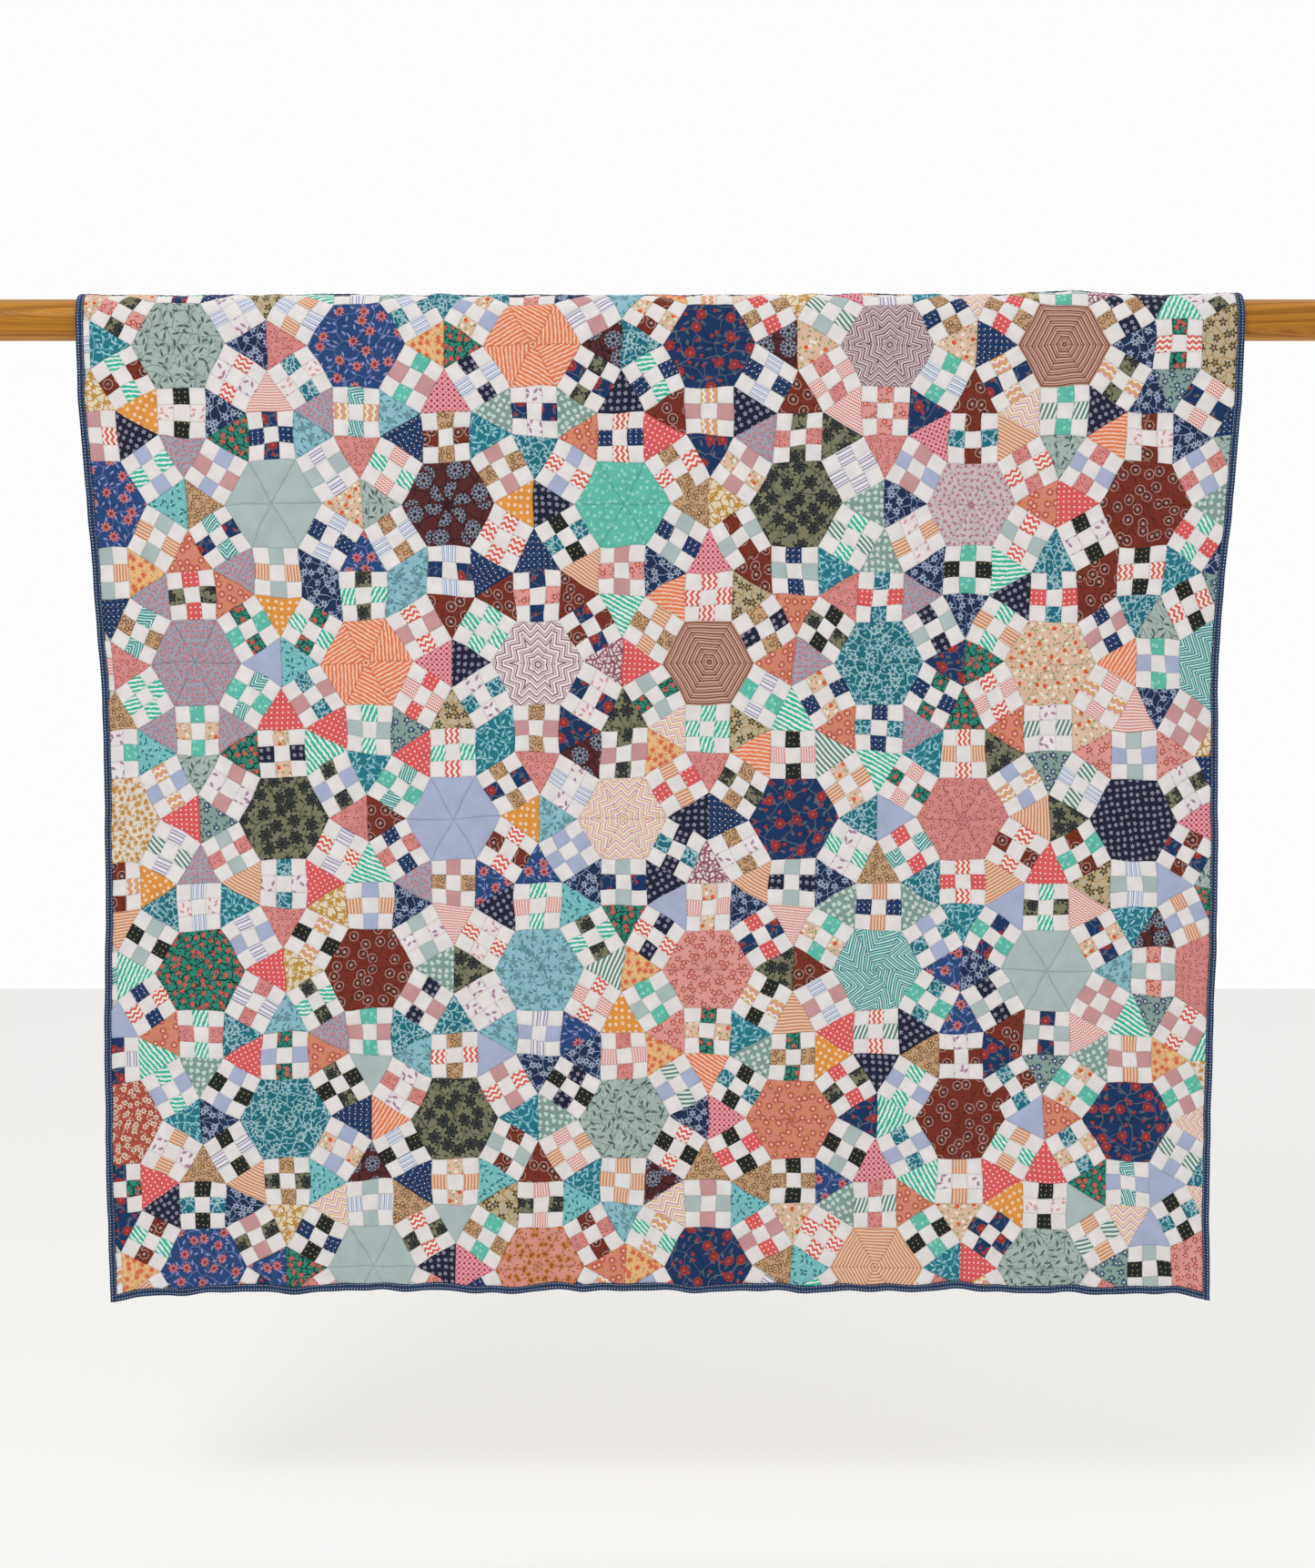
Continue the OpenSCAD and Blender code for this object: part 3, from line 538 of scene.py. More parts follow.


# Plain-woven quilting cotton, screen printed, washed soft and puckered by its quilting: matt, a
# little sheen from loose fibres, with shade painted darker into the seams.
def printedCotton(name, spec):
    material, tree, shader = newMaterial("printed_cotton_" + name, cloth["finish"])
    uv = addNode(tree, "UVMap", uv_map="cloth")
    if "bands" in spec:
        colour = bandColours(tree, uv, spec)
    else:
        worn, fresh = cloth["blotchShade"]
        blotches = addNode(tree, "TexNoise", {0: uv, "Scale": cloth["blotches"], "Detail": 2.0})
        tone = addNode(tree, "MapRange", {0: blotches, 1: 0.3, 2: 0.7, 3: worn, 4: fresh})
        colour = addNode(tree, "VectorMath", {0: linear(spec["ground"])[:3], "Scale": tone},
                         operation="SCALE").outputs[0]
    for kind, cell, size, motifColour, more in spec.get("motifs", []):
        mask = motifMask(tree, uv, kind, cell, size, {**usualMotif, **more})
        colour = layerColour(tree, colour, mask, motifColour)
    # painted shade: the colour darkens towards a seam, where its groove lies in shade
    seam = addNode(tree, "Attribute", attribute_name="seam").outputs[2]
    shade = addNode(tree, "MapRange", {0: seam, 1: 0.0, 2: cloth["seamReach"], 3: cloth["seamShade"],
                                       4: 1.0}, interpolation_type="SMOOTHSTEP")
    darkest, lightest = cloth["yarnShade"]
    yarn = addNode(tree, "TexNoise", {0: uv, "Scale": 1000 / cloth["thread"], "Detail": 1.0})
    yarnTone = addNode(tree, "MapRange", {0: yarn, 1: 0.3, 2: 0.7, 3: darkest, 4: lightest})
    tone = addNode(tree, "Math", {0: shade, 1: yarnTone}, operation="MULTIPLY")
    colour = addNode(tree, "VectorMath", {0: colour, "Scale": tone}, operation="SCALE")
    tree.links.new(colour.outputs[0], shader.inputs["Base Color"])
    place = addNode(tree, "TexCoord").outputs["Object"]
    warp = addNode(tree, "TexWave", {0: uv, "Scale": 314.16 / cloth["thread"]})
    weft = addNode(tree, "TexWave", {0: uv, "Scale": 314.16 / cloth["thread"]}, bands_direction="Y")
    weave = addNode(tree, "Math", {0: warp.outputs[1], 1: weft.outputs[1]}, operation="MAXIMUM")
    weave = addNode(tree, "Math", {0: weave, 1: cloth["threadHeight"]}, operation="MULTIPLY")
    pucker = addNode(tree, "TexNoise", {0: place, "Scale": 1000 / cloth["pucker"], "Detail": 1.0})
    near = addNode(tree, "MapRange", {0: seam, 1: 0.0, 2: cloth["puckerReach"],
                                      3: cloth["puckerHeight"], 4: cloth["puckerHeight"] * 0.25})
    pucker = addNode(tree, "Math", {0: pucker, 1: near, 2: weave}, operation="MULTIPLY_ADD")
    crease = addNode(tree, "TexNoise", {0: place, "Scale": cloth["creases"], "Detail": 3.0,
                                        "Roughness": 0.55, "Distortion": 0.8})
    height = addNode(tree, "Math", {0: crease, 1: cloth["creaseHeight"], 2: pucker},
                     operation="MULTIPLY_ADD")
    bump = addNode(tree, "Bump", {"Height": height, "Distance": 1.0, "Strength": 1.0})
    tree.links.new(bump.outputs[0], shader.inputs["Normal"])
    return material


materialOf = {name: printedCotton(name, spec) for name, spec in prints.items()}
print("prints made:", len(materialOf))


# patchwork
relief = {
    "puff": 0.0023,  # how far a patch stands above its seams
    "puffLength": 0.0055,  # distance from a seam in which it rises
    "smallPuff": 0.0014,  # the same for the small squares
    "seamDepth": 0.0008,
    "underneath": -0.0026,  # where a patch's underside lies, from the quilt's face
}
hexagonPrints = {
    1: ["sageSprigs", "navyCoralFloral", "orangeWaves", "royalRedFloral", "plumZigzag", "tanStripes"],
    2: ["navyCoralFloral", "plainSage", "burgundyMedallions", "mintSprigs", "oliveBlooms", "pinkRoses",
        "rustPaisley"],
    3: ["greyCoralBuds", "orangeWaves", "mauveZigzag", "tanStripes", "tealVines", "peachFruit"],
    4: ["mustardFloral", "oliveBlooms", "plainPeriwinkle", "creamZigzag", "royalRedFloral",
        "dustyPinkBuds", "midnightBuds"],
    5: ["emeraldFloral", "rustPaisley", "aquaSprigs", "salmonFlowers", "aquaZigzag", "plainSage"],
    6: ["redCreamFlowers", "tealVines", "oliveBlooms", "sageSprigs", "orangePinkFloral", "rustPaisley",
        "royalRedFloral"],
    7: ["navyCoralFloral", "plainSage", "coralPinkMustard", "royalRedFloral", "peachStripes",
        "sageSprigs"],
}
trianglePrints = [
    "tealLeaves", "tealLeaves", "coralDots", "coralDots", "dustyPinkBuds", "dustyPinkBuds",
    "salmonFlowers", "mintWaves", "mintWaves", "goldOnCream", "greyGreenBlobs", "maroonLace",
    "navyFlowers", "navyFlowers", "emeraldFloral", "rustPaisley", "rustPaisley", "royalRedFloral",
    "midnightBuds", "midnightBuds", "sageSprigs", "aquaSprigs", "aquaSprigs", "tealVines",
    "orangeWaves", "beigePaisley", "plainPeriwinkle", "beigeBlooms", "navyDots", "turquoiseLeaves",
    "sageNavyFloral", "greyCoralBuds", "oliveBlooms", "burgundyMedallions", "coralFineZigzag",
    "peachFruit", "yellowCoral", "plainSage", "redScales", "peachStripes", "sageStripes",
    "orangePinkFloral", "creamZigzag", "navyCoralFloral", "orangeBlossoms",
]
squarePrints = [
    "salmonFlowers", "royalRedFloral", "royalRedFloral", "mintWaves", "mintSprigs", "blueTicking",
    "peachStripes", "peachStripes", "blackGoldDots", "blackGoldDots", "plainSage", "plainSage",
    "plainDustyPink", "plainDustyPink", "coralChevrons", "coralChevrons", "rustPaisley",
    "plainPeriwinkle", "plainPeriwinkle", "tealVines", "coralFineZigzag", "pinkChevrons",
    "lilacStripes", "plumPetals", "pinkLeaves", "beigePaisley", "oliveBlooms", "navyDots",
    "aquaZigzag", "coralDots", "dustyPinkBuds", "emeraldFloral", "sageStripes", "peachFruit",
    "midnightBuds", "mintWaves",
]
pick = np.random.default_rng(quilt["seed"])


def draw(pool):
    return pool[int(pick.integers(len(pool)))]


# A patch as it is laid out: its print's own frame is turned so that +V points outward.
def newPatch(corners, middle, outward, name, spot=None, puff=relief["puff"]):
    spot = pick.uniform(-0.4, 0.4, 2) if spot is None else spot
    return {"corners": corners, "middle": middle, "outward": outward, "print": name, "spot": spot,
            "puff": puff}


starPrints = ["burgundyMedallions", "pinkRoses", "greyCoralBuds", "salmonFlowers", "orangePinkFloral",
              "coralPinkMustard", "dustyPinkBuds"]  # cut so that all six wedges match


# Six wedges to a hexagon. Bands and star prints meet round its middle; the others run straight
# across it, or every wedge shows another part of the print.
def hexagonPatches(row):
    found = []
    for middle, name in zip(rowMiddles(row), hexagonPrints[row]):
        banded, spot = "bands" in prints[name], pick.uniform(-0.4, 0.4, 2)
        star = banded or name in starPrints
        for k in range(30, 360, 60):
            found.append(newPatch(regularPatch(3, middle + toward(k, wedgeOut), k + 180), middle,
                                  k if star else 20 * row, name, np.zeros(2) if banded else spot))
    return found


# Nine small squares: white at the corners and the middle, two prints in opposite pairs.
def ninePatch(middle, cornerDegrees):
    first, second = draw(squarePrints), draw(squarePrints)
    across, up = toward(cornerDegrees - 45, side / 3), toward(cornerDegrees + 45, side / 3)
    found = []
    for i in (-1, 0, 1):
        for j in (-1, 0, 1):
            spot = middle + i * across + j * up
            corners = np.array([spot + a * across / 2 + b * up / 2
                                for a, b in ((-1, -1), (1, -1), (1, 1), (-1, 1))])
            name = "whiteCotton" if (i + j) % 2 == 0 else (first if i == 0 else second)
            found.append(newPatch(corners, spot, cornerDegrees + 45, name, puff=relief["smallPuff"]))
    return found


# Middles of a row's nine-patches, each with the direction of one corner: those round its hexagons,
# and in an odd row one more at each end and two turned ones at the right.
def squareMiddles(row):
    middles = [(m + toward(k, squareOut), k + 45) for m in rowMiddles(row) for k in range(30, 360, 60)]
    if row % 2 == 1:
        down = squareOut + (row - 1) * rowPitch
        middles += [(np.array([x, down]), 45) for x in (firstX - pitch / 2 - side / 2,
                                                         ringEdgeX + side / 2)]
        middles += [(np.array([ringEdgeX + slant, down + s * slant]), s * 75) for s in (-1, 1)]
    return middles


def ninePatchPatches(row):
    return [patch for middle, corner in squareMiddles(row) for patch in ninePatch(middle, corner)]


leftPrints = {1: "tealLeaves", 3: "dustyPinkBuds", 5: "mintWaves"}  # triangles on the left edge


def ringTrianglePatches(row):
    found = []
    for i, m in enumerate(rowMiddles(row)):
        for k in range(0, 360, 60):
            spot, name = m + toward(k, ringOut), draw(trianglePrints)
            if i == 0 and k == 180:
                name = leftPrints.get(row, name)
            found.append(newPatch(regularPatch(3, spot, k + 180), spot, k, name))
    return found


# Triangles between three squares: one row points down and the other up.
def gapTrianglePatches():
    found = []
    for first, last, way in ((0, quilt["rows"], 90), (2, quilt["rows"] + 1, 270)):
        for row in range(first, last):
            for m in rowMiddles(row):
                spot = m + toward(way, gapOut)
                found.append(newPatch(regularPatch(3, spot, way), spot, way, draw(trianglePrints)))
    return found


edgePrints = {  # side patch, then above and below it: a triangle and two corner pieces
    1: ["beigeBlooms", "mintWaves", "navyFlowers", "navyDots", "sageNavyFloral", "navyDots",
        "sageSprigs"],
    3: ["aquaZigzag", "sageSprigs", "sageNavyFloral", "navyFlowers", "navyFlowers", "goldOnCream",
        "navyDots"],
    5: ["dustyPinkBuds", "burgundyMedallions", "emeraldFloral", "sageSprigs", "sageNavyFloral",
        "mintWaves", "mustardFloral"],
    7: ["salmonFlowers", "plainPeriwinkle", "creamZigzag", "tealVines", "peachStripes", "goldOnCream",
        "tealLeaves"],
}


# What fills the right-hand ends of the odd rows beside their squares.
def edgePatches():
    half, far, notch = side / 2, side + hexagonIn, side / 2 + hexagonIn
    found = []
    for row in range(1, quilt["rows"] + 1, 2):
        middle = np.array([ringEdgeX, squareOut + (row - 1) * rowPitch])
        shapes = [[(side, -half), (side, half), (far, side), (far, -side)]]
        for s in (-1, 1):
            shapes.append(regularPatch(3, np.array([half, s * (half + side / 2 / math.sqrt(3))]), s * 90))
            shapes.append([(notch, s * far), (far, s * side), (far, s * far)])
            shapes.append([(notch, s * far), (far, s * (far + hexagonIn)), (far, s * far)])
        for shape, name in zip(shapes, edgePrints[row]):
            corners = middle + np.array(shape)
            found.append(newPatch(corners, corners.mean(axis=0), 0, name))
    return found


# A web of points over a flat patch: its outline in even steps, drawn in towards its middle by each
# share. Also each point's distance to the nearest side.
def webOfPatch(corners, step, shares):
    middle = corners.mean(axis=0)
    nextCorners = np.roll(corners, -1, axis=0)
    spans = np.linalg.norm(nextCorners - corners, axis=1)
    outline = np.concatenate([a + (b - a) * np.arange(n)[:, None] / n for a, b, n in zip(
        corners, nextCorners, np.maximum(1, np.ceil(spans / step - 1e-6)).astype(int))])
    rings = middle + np.array(shares)[:, None, None] * (outline - middle)
    points = np.concatenate([middle[None], rings.reshape(-1, 2)])
    along = (nextCorners - corners) / spans[:, None]
    offset = points[:, None] - corners[None]
    distance = np.abs(offset[..., 0] * along[:, 1] - offset[..., 1] * along[:, 0]).min(axis=1)
    return points, distance, len(outline)


# Faces of a web: a fan round the middle, quads between rings and, if closed, a skirt down to an
# outline underneath and a fan there.
def webFaces(count, rings, closed):
    i = np.arange(count)
    j = (i + 1) % count
    faces = np.stack([np.zeros(count, int), 1 + i, 1 + j], axis=1).tolist()
    for ring in range(rings - 1 + closed):
        inner, outer = 1 + ring * count, 1 + (ring + 1) * count
        faces += np.stack([inner + i, outer + i, outer + j, inner + j], axis=1).tolist()
    if closed:
        under = 1 + rings * count
        faces += np.stack([np.full(count, under + count), under + j, under + i], axis=1).tolist()
    return faces


# Many small closed patches as one piece. Face height = puff (1 - e^(-distance / length)) less the
# seam's depth, plus the wrinkles.
def sewPatches(name, patches, step, shares):
    names, pointParts, uvParts, seamParts, faces, numbers, start = [], [], [], [], [], [], 0
    webs = {}
    for patch in patches:
        corners = cutToQuilt(patch["corners"])
        if corners is None:
            continue
        if patch["print"] not in names:
            names.append(patch["print"])
        flat, seam, count = webOfPatch(corners, step, shares)
        if count not in webs:
            webs[count] = webFaces(count, len(shares), True)
        puffed = patch["puff"] * (1 - np.exp(-seam / relief["puffLength"])) - relief["seamDepth"]
        out = puffed + wrinkles(flat[:, 0], flat[:, 1])
        under = relief["underneath"] + np.concatenate([out[-count:] + relief["seamDepth"],
                                                       out[:1] - puffed[:1]])
        flat = np.concatenate([flat, flat[-count:], flat[:1]])
        out = np.concatenate([out, under])
        seam = np.concatenate([seam, np.zeros(count + 1)])
        pointParts.append(drape(flat[:, 0], flat[:, 1], out))
        angle = math.radians(90 + patch["outward"])
        offset = (flat - patch["middle"]) * (1, -1)
        turned = np.stack([offset[:, 0] * math.cos(angle) - offset[:, 1] * math.sin(angle),
                           offset[:, 0] * math.sin(angle) + offset[:, 1] * math.cos(angle)], axis=1)
        uvParts.append(turned + patch["spot"])
        seamParts.append(seam)
        faces += [[k + start for k in face] for face in webs[count]]
        numbers += [names.index(patch["print"])] * len(webs[count])
        start += len(flat)
    piece = makePiece(name, np.concatenate(pointParts), faces, np.concatenate(uvParts),
                      np.concatenate(seamParts), numbers)
    for used in names:
        piece.data.materials.append(materialOf[used])
    return piece


# Hides the CAD nodes that a quilt piece stands for and puts the piece in the body it moves with. A piece
# that crosses the swing line keeps its place in the scene, with no parent.
def hangPiece(piece, nodes, body="both"):
    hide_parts(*nodes)
    if body == "both":
        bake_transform(piece)
    else:
        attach(piece, body)


largeWeb = (0.0065, (0.3, 0.56, 0.76, 0.9, 1.0))
smallWeb = (0.0064, (0.55, 0.85, 1.0))
rowPieces = [("hexagons", hexagonPatches, largeWeb, "print_patch_cotton"),
             ("nine_patches", ninePatchPatches, smallWeb, "white_patch_cotton"),
             ("ring_triangles", ringTrianglePatches, largeWeb, "print_patch_cotton")]
for row in range(1, quilt["rows"] + 1):
    for kind, layOut, web, slotName in rowPieces:
        nodes = [f"row_{row}_{kind}"] + ([f"band_{kind}"] if row == 1 else [])
        hangPiece(sewPatches(f"{kind}_row_{row}", layOut(row), *web), nodes,
                  "both" if row < 3 else "quilt_drop")
    print("row", row, "sewn")
hangPiece(sewPatches("gap_triangle_patches", gapTrianglePatches(), *largeWeb),
          ["gap_triangles", "band_gap_triangles"])
hangPiece(sewPatches("edge_fill_patches", edgePatches(), *largeWeb),
          ["edge_patches", "band_edge_patches"])
print("patchwork sewn")


# bindings
binding = {
    "halfThick": 0.0036,  # of the rolled edge, front to back
    "spread": 0.0008,  # how far it reaches over the patchwork
    "swell": [(0.10, 0.013, 0), (0.05, 0.047, 1)],  # share of its thickness, length, phase
    "forward": 0.0004,  # how far its middle lies in front of the quilt's middle
    "boxy": 0.75,  # power that makes the round section squarer
    "wrinkled": 0.4,  # share of the quilt's wrinkles that it follows
    "seam": 0.004,  # distance from a seam, for its puckers
    "around": 16,  # points round its section
    "step": 0.0042,
}


# A folded strip sewn round an edge: a rounded flat section carried along a straight line of the
# flat cloth from start to end, swelling and thinning in waves, closed at both ends. The section is
# an ellipse whose cosine and sine are raised to a power.
def rollBinding(name, start, end, inward):
    start, end, inward = np.array(start), np.array(end), np.array(inward, float)
    length = np.linalg.norm(end - start)
    count = int(round(length / binding["step"]))
    run = np.linspace(0, length, count + 1)[:, None]
    turn = np.linspace(0, 2 * math.pi, binding["around"] + 1)[None, :]
    gather = 1
    for share, wave, phase in binding["swell"]:
        gather = gather + share * np.sin(2 * math.pi * run / wave + phase)
    half = quilt["bindingWidth"] / 2 + binding["spread"] / 2
    boxy = lambda wave: np.sign(wave) * np.abs(wave) ** binding["boxy"]
    acrossStrip = half * boxy(np.cos(turn)) + binding["spread"] / 2 + run * 0
    out = (binding["halfThick"] * gather) * boxy(np.sin(turn)) - (
        faceRadius - backRadius) / 2 + binding["forward"]
    spot = start + (end - start) * (run / length)[..., None] + inward * (
        acrossStrip - quilt["bindingWidth"] / 2)[..., None]
    out = out + binding["wrinkled"] * wrinkles(spot[..., 0], spot[..., 1])
    points = drape(spot[..., 0], spot[..., 1], out)
    uv = np.stack(np.broadcast_arrays(run, turn * half * 0.8), axis=-1)
    return closeTube(name, points, uv)


# The quads of a grid of point numbers.
def gridFaces(number):
    return np.stack([number[:-1, :-1], number[1:, :-1], number[1:, 1:], number[:-1, 1:]],
                    axis=-1).reshape(-1, 4)


# A grid of sections joined in turn, with one face over each end and the faces turned outward.
def closeTube(name, points, uv):
    number = np.arange(points[..., 0].size).reshape(points.shape[:2])
    faces = gridFaces(number).tolist() + [number[0, :-1].tolist(), number[-1, -2::-1].tolist()]
    piece = makePiece(name, points.reshape(-1, 3), faces, uv.reshape(-1, 2),
                      np.full(number.size, binding["seam"]))
    mergePoints(piece, 1e-6, outward=True)
    return piece


# Merges points closer than the given distance and, if asked, turns a closed mesh's faces outward.
def mergePoints(piece, distance, outward=False):
    work = bmesh.new()
    work.from_mesh(piece.data)
    bmesh.ops.remove_doubles(work, verts=work.verts, dist=distance)
    if outward:
        bmesh.ops.recalc_face_normals(work, faces=work.faces)
    work.to_mesh(piece.data)
    work.free()


# Makes a single cloth as thick as it is: offset -1 thickens it behind its faces, 0 both ways.
def thicken(piece, thickness, offset):
    wall = piece.modifiers.new("cloth thickness", "SOLIDIFY")
    wall.thickness, wall.offset = thickness, offset


topDown, lowDown = -quilt["bindingWidth"], innerEnd + quilt["bindingWidth"]
strips = [  # name, from, to, the way in to the quilt, nodes, body
    ("binding_left", (-innerHalf, topDown), (-innerHalf, lowDown), (1, 0),
     ["left_binding", "band_left_binding"], "both"),
    ("binding_right", (innerHalf, topDown), (innerHalf, lowDown), (-1, 0),
     ["right_binding", "band_right_binding"], "both"),
    ("binding_top", (-innerHalf, 0), (innerHalf, 0), (0, 1), ["top_binding"], "quilt_band"),
    ("binding_bottom", (-innerHalf, innerEnd), (innerHalf, innerEnd), (0, -1), ["bottom_binding"],
     "quilt_drop"),
]
for name, start, end, inward, nodes, body in strips:
    strip = rollBinding(name, start, end, inward)
    strip.data.materials.append(materialOf["navyBinding"])
    hangPiece(strip, nodes, body)
print("bindings rolled")


# batting, backing and sleeve
layers = {
    "battingStep": 0.010,
    "battingFront": -0.0025, "battingBack": -0.0034,
    "backingThick": 0.0006,
    "backingPuff": 0.0016,
    "backingStep": 0.0127,
}


# The fleece between top and backing: two grids of points, one behind the other, joined at the rim.
def battingSheet():
    wide, long = int(2 * innerHalf / layers["battingStep"]), int(innerEnd / layers["battingStep"])
    across, down = np.meshgrid(np.linspace(-innerHalf, innerHalf, wide), np.linspace(0, innerEnd, long))
    front = drape(across, down, layers["battingFront"] + wrinkles(across, down)).reshape(-1, 3)
    back = drape(across, down, layers["battingBack"] + wrinkles(across, down)).reshape(-1, 3)
    number = np.arange(wide * long).reshape(long, wide)
    faces = gridFaces(number)
    behind = faces[:, ::-1] + wide * long
    rim = np.concatenate([number[0, :-1], number[:-1, -1], number[-1, :0:-1], number[:0:-1, 0]])
    nextRim = np.roll(rim, -1)
    joined = np.stack([rim, nextRim, nextRim + wide * long, rim + wide * long], axis=-1)
    uv = np.tile(np.stack([across, down], axis=-1).reshape(-1, 2), (2, 1))
    piece = makePiece("batting_fleece_sheet", np.concatenate([front, back]),
                      np.concatenate([faces, behind, joined]).tolist(), uv, np.full(len(uv), 0.01))
    mergePoints(piece, 1e-6, outward=True)
    return piece


# One cloth behind the batting, drawn in along every seam that is quilted: height behind the quilt =
# puff (1 - e^(-distance / length)). Webs of whole blocks are merged into one sheet and then made as
# thick as the cloth.
def backingSheet():
    shapes = []
    for row in range(1, quilt["rows"] + 1):
        shapes += [p["corners"] for p in hexagonPatches(row) + ringTrianglePatches(row)]
        shapes += [regularPatch(4, middle, corner) for middle, corner in squareMiddles(row)]
    shapes += [p["corners"] for p in gapTrianglePatches() + edgePatches()]
    pointParts, uvParts, seamParts, faces, start = [], [], [], [], 0
    for shape in shapes:
        corners = cutToQuilt(shape)
        if corners is None:
            continue
        flat, seam, count = webOfPatch(corners, layers["backingStep"], (0.45, 0.8, 1.0))
        bulge = layers["backingPuff"] * (1 - np.exp(-seam / relief["puffLength"]))
        out = backRadius + layers["backingThick"] - faceRadius - bulge + wrinkles(flat[:, 0], flat[:, 1])
        pointParts.append(drape(flat[:, 0], flat[:, 1], out))
        uvParts.append(flat)
        seamParts.append(seam)
        faces += [[k + start for k in face[::-1]] for face in webFaces(count, 3, False)]
        start += len(flat)
    piece = makePiece("backing_cloth", np.concatenate(pointParts), faces, np.concatenate(uvParts),
                      np.concatenate(seamParts))
    mergePoints(piece, 2e-5)
    thicken(piece, layers["backingThick"], -1)
    return piece


# cotton fibres matted together by needles: matt and woolly
fleece, tree, fleeceShader = newMaterial("needled_cotton_fleece",
                                         {"Roughness": 0.95, "Sheen Weight": 0.3})
place = addNode(tree, "TexCoord").outputs["Object"]
fibres = addNode(tree, "TexNoise", {0: place, "Scale": 700.0, "Detail": 3.0})
fibreTone = addNode(tree, "MapRange", {0: fibres, 1: 0.3, 2: 0.7, 3: 0.85, 4: 1.0})
fibreColour = addNode(tree, "VectorMath", {0: linear("#f1ece2")[:3], "Scale": fibreTone},
                      operation="SCALE")
fleeceBump = addNode(tree, "Bump", {"Height": fibres, "Distance": 0.0006, "Strength": 0.8})
tree.links.new(fibreColour.outputs[0], fleeceShader.inputs["Base Color"])
tree.links.new(fleeceBump.outputs[0], fleeceShader.inputs["Normal"])

cottonPlain = printedCotton("unbleached_backing", {"ground": "#ddd3c2"})  # plain unbleached cotton
cottonSleeve = printedCotton("unbleached_sleeve", {"ground": "#d9cfbd"})

batting = battingSheet()
batting.data.materials.append(fleece)
hangPiece(batting, ["batting", "band_batting"])
backing = backingSheet()
backing.data.materials.append(cottonPlain)
hangPiece(backing, ["backing", "band_backing"])

sleeve = {
    "radius": poleRadius + 0.0007,  # middle of the cloth's thickness, where it lies on the pole
    "drop": 0.075,  # from the pole's middle to the sleeve's lower seam
    "short": 0.026,  # how far it stops short of the quilt's sides
    "thick": 0.0006,
    "across": 150,
    "slack": [(0.0016, 31, 0), (0.0012, 83, 1)],  # depth of the hollows behind, waves, phase
}


# A tube of cloth round the pole: an arc over the crest, straight down in front to the seam, and
# back up at a slant behind, drawn as one closed loop and carried along the pole. The slack rear
# side hollows a little between stitches.
def sleeveTube():
    radius, drop = sleeve["radius"], sleeve["drop"]
    rear = math.radians(270) - 2 * math.atan(drop / radius)  # where the rear side leaves the pole
    arc = np.linspace(-math.pi / 2, rear, 40)
    loop = np.stack([radius * np.sin(arc), radius * np.cos(arc)], axis=1)
    tip, front = np.array([-radius, -drop]), loop[0]
    share = np.linspace(0, 1, 12)[1:, None]
    loop = np.concatenate([loop, loop[-1] + (tip - loop[-1]) * share, tip + (front - tip) * share])
    rearSide = np.concatenate([np.zeros(40), np.sin(np.linspace(0, math.pi, 12))[1:], np.zeros(11)])
    half = edgeHalf - sleeve["short"]
    x = np.linspace(-half, half, sleeve["across"])[:, None]
    slack = rearSide[None] * sum(deep * np.sin(x * waves + phase)
                                 for deep, waves, phase in sleeve["slack"])
    y = axisY + loop[None, :, 0] + slack
    z = axisZ + loop[None, :, 1] + slack * 0.3
    points = np.stack([x + 0 * y, y, z], axis=-1)
    run = np.concatenate([[0], np.cumsum(np.linalg.norm(np.diff(loop, axis=0), axis=1))])
    uv = np.stack([x + 0 * y, run[None] + 0 * y], axis=-1)
    faces = gridFaces(np.arange(y.size).reshape(y.shape).T).tolist()
    piece = makePiece("sleeve_tube", points.reshape(-1, 3), faces, uv.reshape(-1, 2),
                      np.full(y.size, 0.01))
    mergePoints(piece, 1e-6, outward=True)
    thicken(piece, sleeve["thick"], 0)
    return piece, run[-1]


tube, sleeveLength = sleeveTube()
tube.data.materials.append(cottonSleeve)
hangPiece(tube, ["hanging_sleeve"], "quilt_band")
print("backing, batting and sleeve made")


# wood and steel
wood = {
    "poleLight": "#d99330", "poleDark": "#824a0f", "poleKnot": "#4a260a",
    "bracketLight": "#c9935a", "bracketDark": "#8f5c2f", "bracketKnot": "#5a3518",
    "grain": 1.6,  # mm between growth lines
    "knots": 8.5,  # cells a metre that may hold one
    "bend": 0.05,  # how far a knot pushes the grain aside
    "finish": {"IOR": 1.5, "Specular IOR Level": 0.2, "Coat Weight": 0.04, "Coat Roughness": 0.25},
}


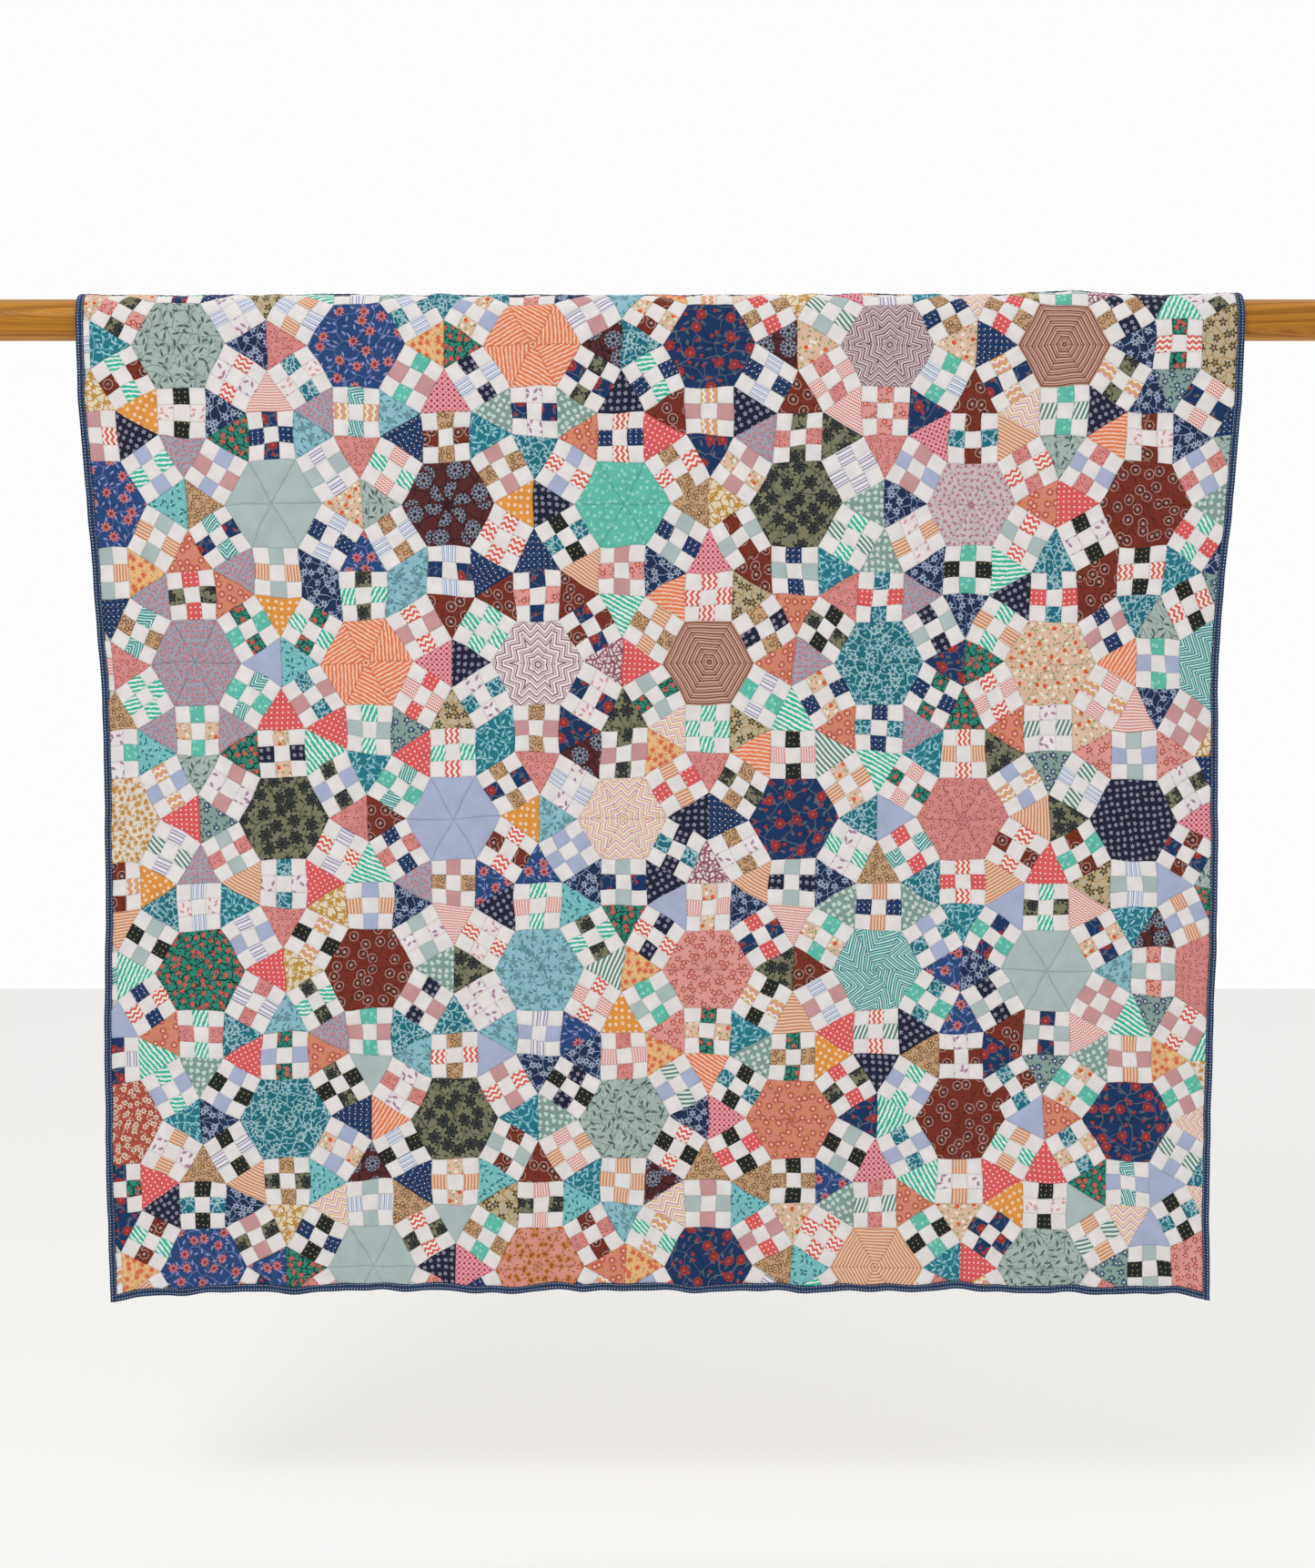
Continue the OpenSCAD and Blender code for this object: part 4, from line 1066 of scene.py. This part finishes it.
# Turned pine, sanded and oiled: long pale and dark growth lines, a few knots with the grain bent
# round them, a satin surface that is a little rougher on the dark lines.
def oiledPine(name, light, dark, knot, long):
    material, tree, shader = newMaterial(name, wood["finish"])
    place = addNode(tree, "TexCoord").outputs["Object"]
    spread = addNode(tree, "VectorMath", {0: place, 1: long}, operation="MULTIPLY")
    drift = addNode(tree, "TexNoise", {0: spread, "Scale": 6.0, "Detail": 2.0})
    knots = addNode(tree, "VectorMath", {0: place, 1: tuple(0.35 + 0.65 * v for v in long)},
                    operation="MULTIPLY")
    cells = addNode(tree, "TexVoronoi", {"Vector": knots, "Scale": wood["knots"], "Randomness": 1.0})
    near = addNode(tree, "MapRange", {0: cells, 1: 0.0, 2: 0.16, 3: 1.0, 4: 0.0},
                   interpolation_type="SMOOTHSTEP")
    bend = addNode(tree, "Math", {0: near, 1: wood["bend"], 2: drift}, operation="MULTIPLY_ADD")
    bent = addNode(tree, "VectorMath", {0: spread, 1: bend}, operation="ADD")
    lines = addNode(tree, "TexNoise", {0: bent, "Scale": 260 / wood["grain"], "Detail": 4.0,
                                       "Roughness": 0.6})
    broad = addNode(tree, "TexNoise", {0: bent, "Scale": 26.0, "Detail": 2.0})
    lineShare = addNode(tree, "MapRange", {0: lines, 1: 0.35, 2: 0.65, 3: 0.0, 4: 1.0})
    broadShare = addNode(tree, "MapRange", {0: broad, 1: 0.35, 2: 0.66, 3: 0.0, 4: 1.0})
    tone = addNode(tree, "Math", {0: lineShare, 1: 0.45}, operation="MULTIPLY")
    tone = addNode(tree, "Math", {0: broadShare, 1: 0.5, 2: tone}, operation="MULTIPLY_ADD")
    colour = addNode(tree, "Mix", {0: tone, 6: linear(light), 7: linear(dark)}, data_type="RGBA")
    ring = addNode(tree, "MapRange", {0: cells, 1: 0.045, 2: 0.02, 3: 0.0, 4: 0.9})
    colour = addNode(tree, "Mix", {0: ring, 6: colour.outputs[2], 7: linear(knot)}, data_type="RGBA")
    tree.links.new(colour.outputs[2], shader.inputs["Base Color"])
    rough = addNode(tree, "MapRange", {0: lines, 1: 0.3, 2: 0.7, 3: 0.36, 4: 0.5})
    tree.links.new(rough.outputs[0], shader.inputs["Roughness"])
    bump = addNode(tree, "Bump", {"Height": lines, "Distance": 0.0004, "Strength": 0.5})
    tree.links.new(bump.outputs[0], shader.inputs["Normal"])
    return material


poleWood = oiledPine("turned_pine_oiled", wood["poleLight"], wood["poleDark"], wood["poleKnot"],
                     (0.06, 1.0, 1.0))
bracketColours = wood["bracketLight"], wood["bracketDark"], wood["bracketKnot"]
plateWood = oiledPine("planed_oak_oiled", *bracketColours, (1.0, 1.0, 0.07))
armWood = oiledPine("planed_oak_oiled_arm", *bracketColours, (1.0, 0.07, 1.0))

# bright grey metal, faintly mottled by its plating
zinc, zincTree, zincShader = newMaterial("zinc_plated_steel",
                                         {"Base Color": linear("#b9bdc2"), "Metallic": 1.0})
zincPlace = addNode(zincTree, "TexCoord").outputs["Object"]
mottle = addNode(zincTree, "TexNoise", {0: zincPlace, "Scale": 900.0, "Detail": 2.0})
zincRough = addNode(zincTree, "MapRange", {0: mottle, 1: 0.3, 2: 0.7, 3: 0.28, 4: 0.42})
zincTree.links.new(zincRough.outputs[0], zincShader.inputs["Roughness"])

finishes = {"pole": poleWood, "left_end_cap": poleWood, "right_end_cap": poleWood,
            "left_wall_plate": plateWood, "right_wall_plate": plateWood,
            "left_cradle_arm": armWood, "right_cradle_arm": armWood, "arm_screws": zinc}
for name, finish in finishes.items():
    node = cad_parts[name]
    node.data.materials.clear()
    node.data.materials.append(finish)
print("wood and steel finished")


# floor, light and camera
studio = {
    "floorReach": 6, "floorLevel": -1.98,
    "roomGlow": 0.44,  # in front of the quilt, where the backdrop behind it is 1
    "ceilingGlow": 0.36,  # added overhead
    "keyPower": 50, "fillPower": 12,
}
floorMesh = bpy.data.meshes.new("floor")
floorMesh.from_pydata([(x * studio["floorReach"], y * studio["floorReach"], studio["floorLevel"])
                       for x, y in ((-1, -1), (1, -1), (1, 1), (-1, 1))], [], [(0, 1, 2, 3)])
floor = bpy.data.objects.new("floor", floorMesh)
bpy.context.scene.collection.objects.link(floor)
# rolled on: dull, with no gloss
paint = newMaterial("matt_white_paint", {"Base Color": linear("#f4f3f1"), "Roughness": 0.9})[0]
floorMesh.materials.append(paint)

world = bpy.data.worlds.new("studio")
bpy.context.scene.world = world
world.use_nodes = True
background = world.node_tree.nodes["Background"]  # a bright backdrop, a dimmer room and a soft ceiling
heading = addNode(world.node_tree, "TexCoord").outputs["Generated"]
parts = addNode(world.node_tree, "SeparateXYZ", {0: heading})
behind = addNode(world.node_tree, "MapRange", {0: parts.outputs[1], 1: -0.3, 2: 0.5,
                                               3: studio["roomGlow"], 4: 1.0})
ceiling = addNode(world.node_tree, "MapRange", {0: parts.outputs[2], 1: 0.3, 2: 0.8, 3: 0.0,
                                                4: studio["ceilingGlow"]})
glow = addNode(world.node_tree, "Math", {0: behind, 1: ceiling}, operation="ADD")
world.node_tree.links.new(glow.outputs[0], background.inputs["Strength"])
background.inputs["Color"].default_value = linear("#fdfdfd")


def softLight(name, spot, target, size, power):
    lamp = bpy.data.lights.new(name, "AREA")
    lamp.shape, lamp.size, lamp.size_y, lamp.energy = "RECTANGLE", size[0], size[1], power
    holder = bpy.data.objects.new(name, lamp)
    holder.location = spot
    holder.rotation_euler = (Vector(target) - Vector(spot)).to_track_quat("-Z", "Y").to_euler()
    bpy.context.scene.collection.objects.link(holder)


softLight("key_light", (-1.6, -3.6, 2.2), (0, -0.15, -0.7), (1.6, 1.2), studio["keyPower"])
softLight("fill_light", (2.6, -3.2, 0.8), (0, -0.15, -0.8), (2.0, 2.0), studio["fillPower"])

view = {"distance": 4.2, "pitch": 3.96, "lens": 59.5, "middle": (-0.004, -0.153, -0.7283)}
pitchDown = math.radians(view["pitch"])
cameraData = bpy.data.cameras.new("camera")
cameraData.lens, cameraData.sensor_width = view["lens"], 36
camera = bpy.data.objects.new("camera", cameraData)
target = Vector(view["middle"])
camera.location = target + view["distance"] * Vector((0, -math.cos(pitchDown), math.sin(pitchDown)))
camera.rotation_euler = (target - camera.location).to_track_quat("-Z", "Y").to_euler()
bpy.context.scene.collection.objects.link(camera)
bpy.context.scene.camera = camera
bpy.context.scene.view_settings.view_transform = "Standard"

print("scene ready")
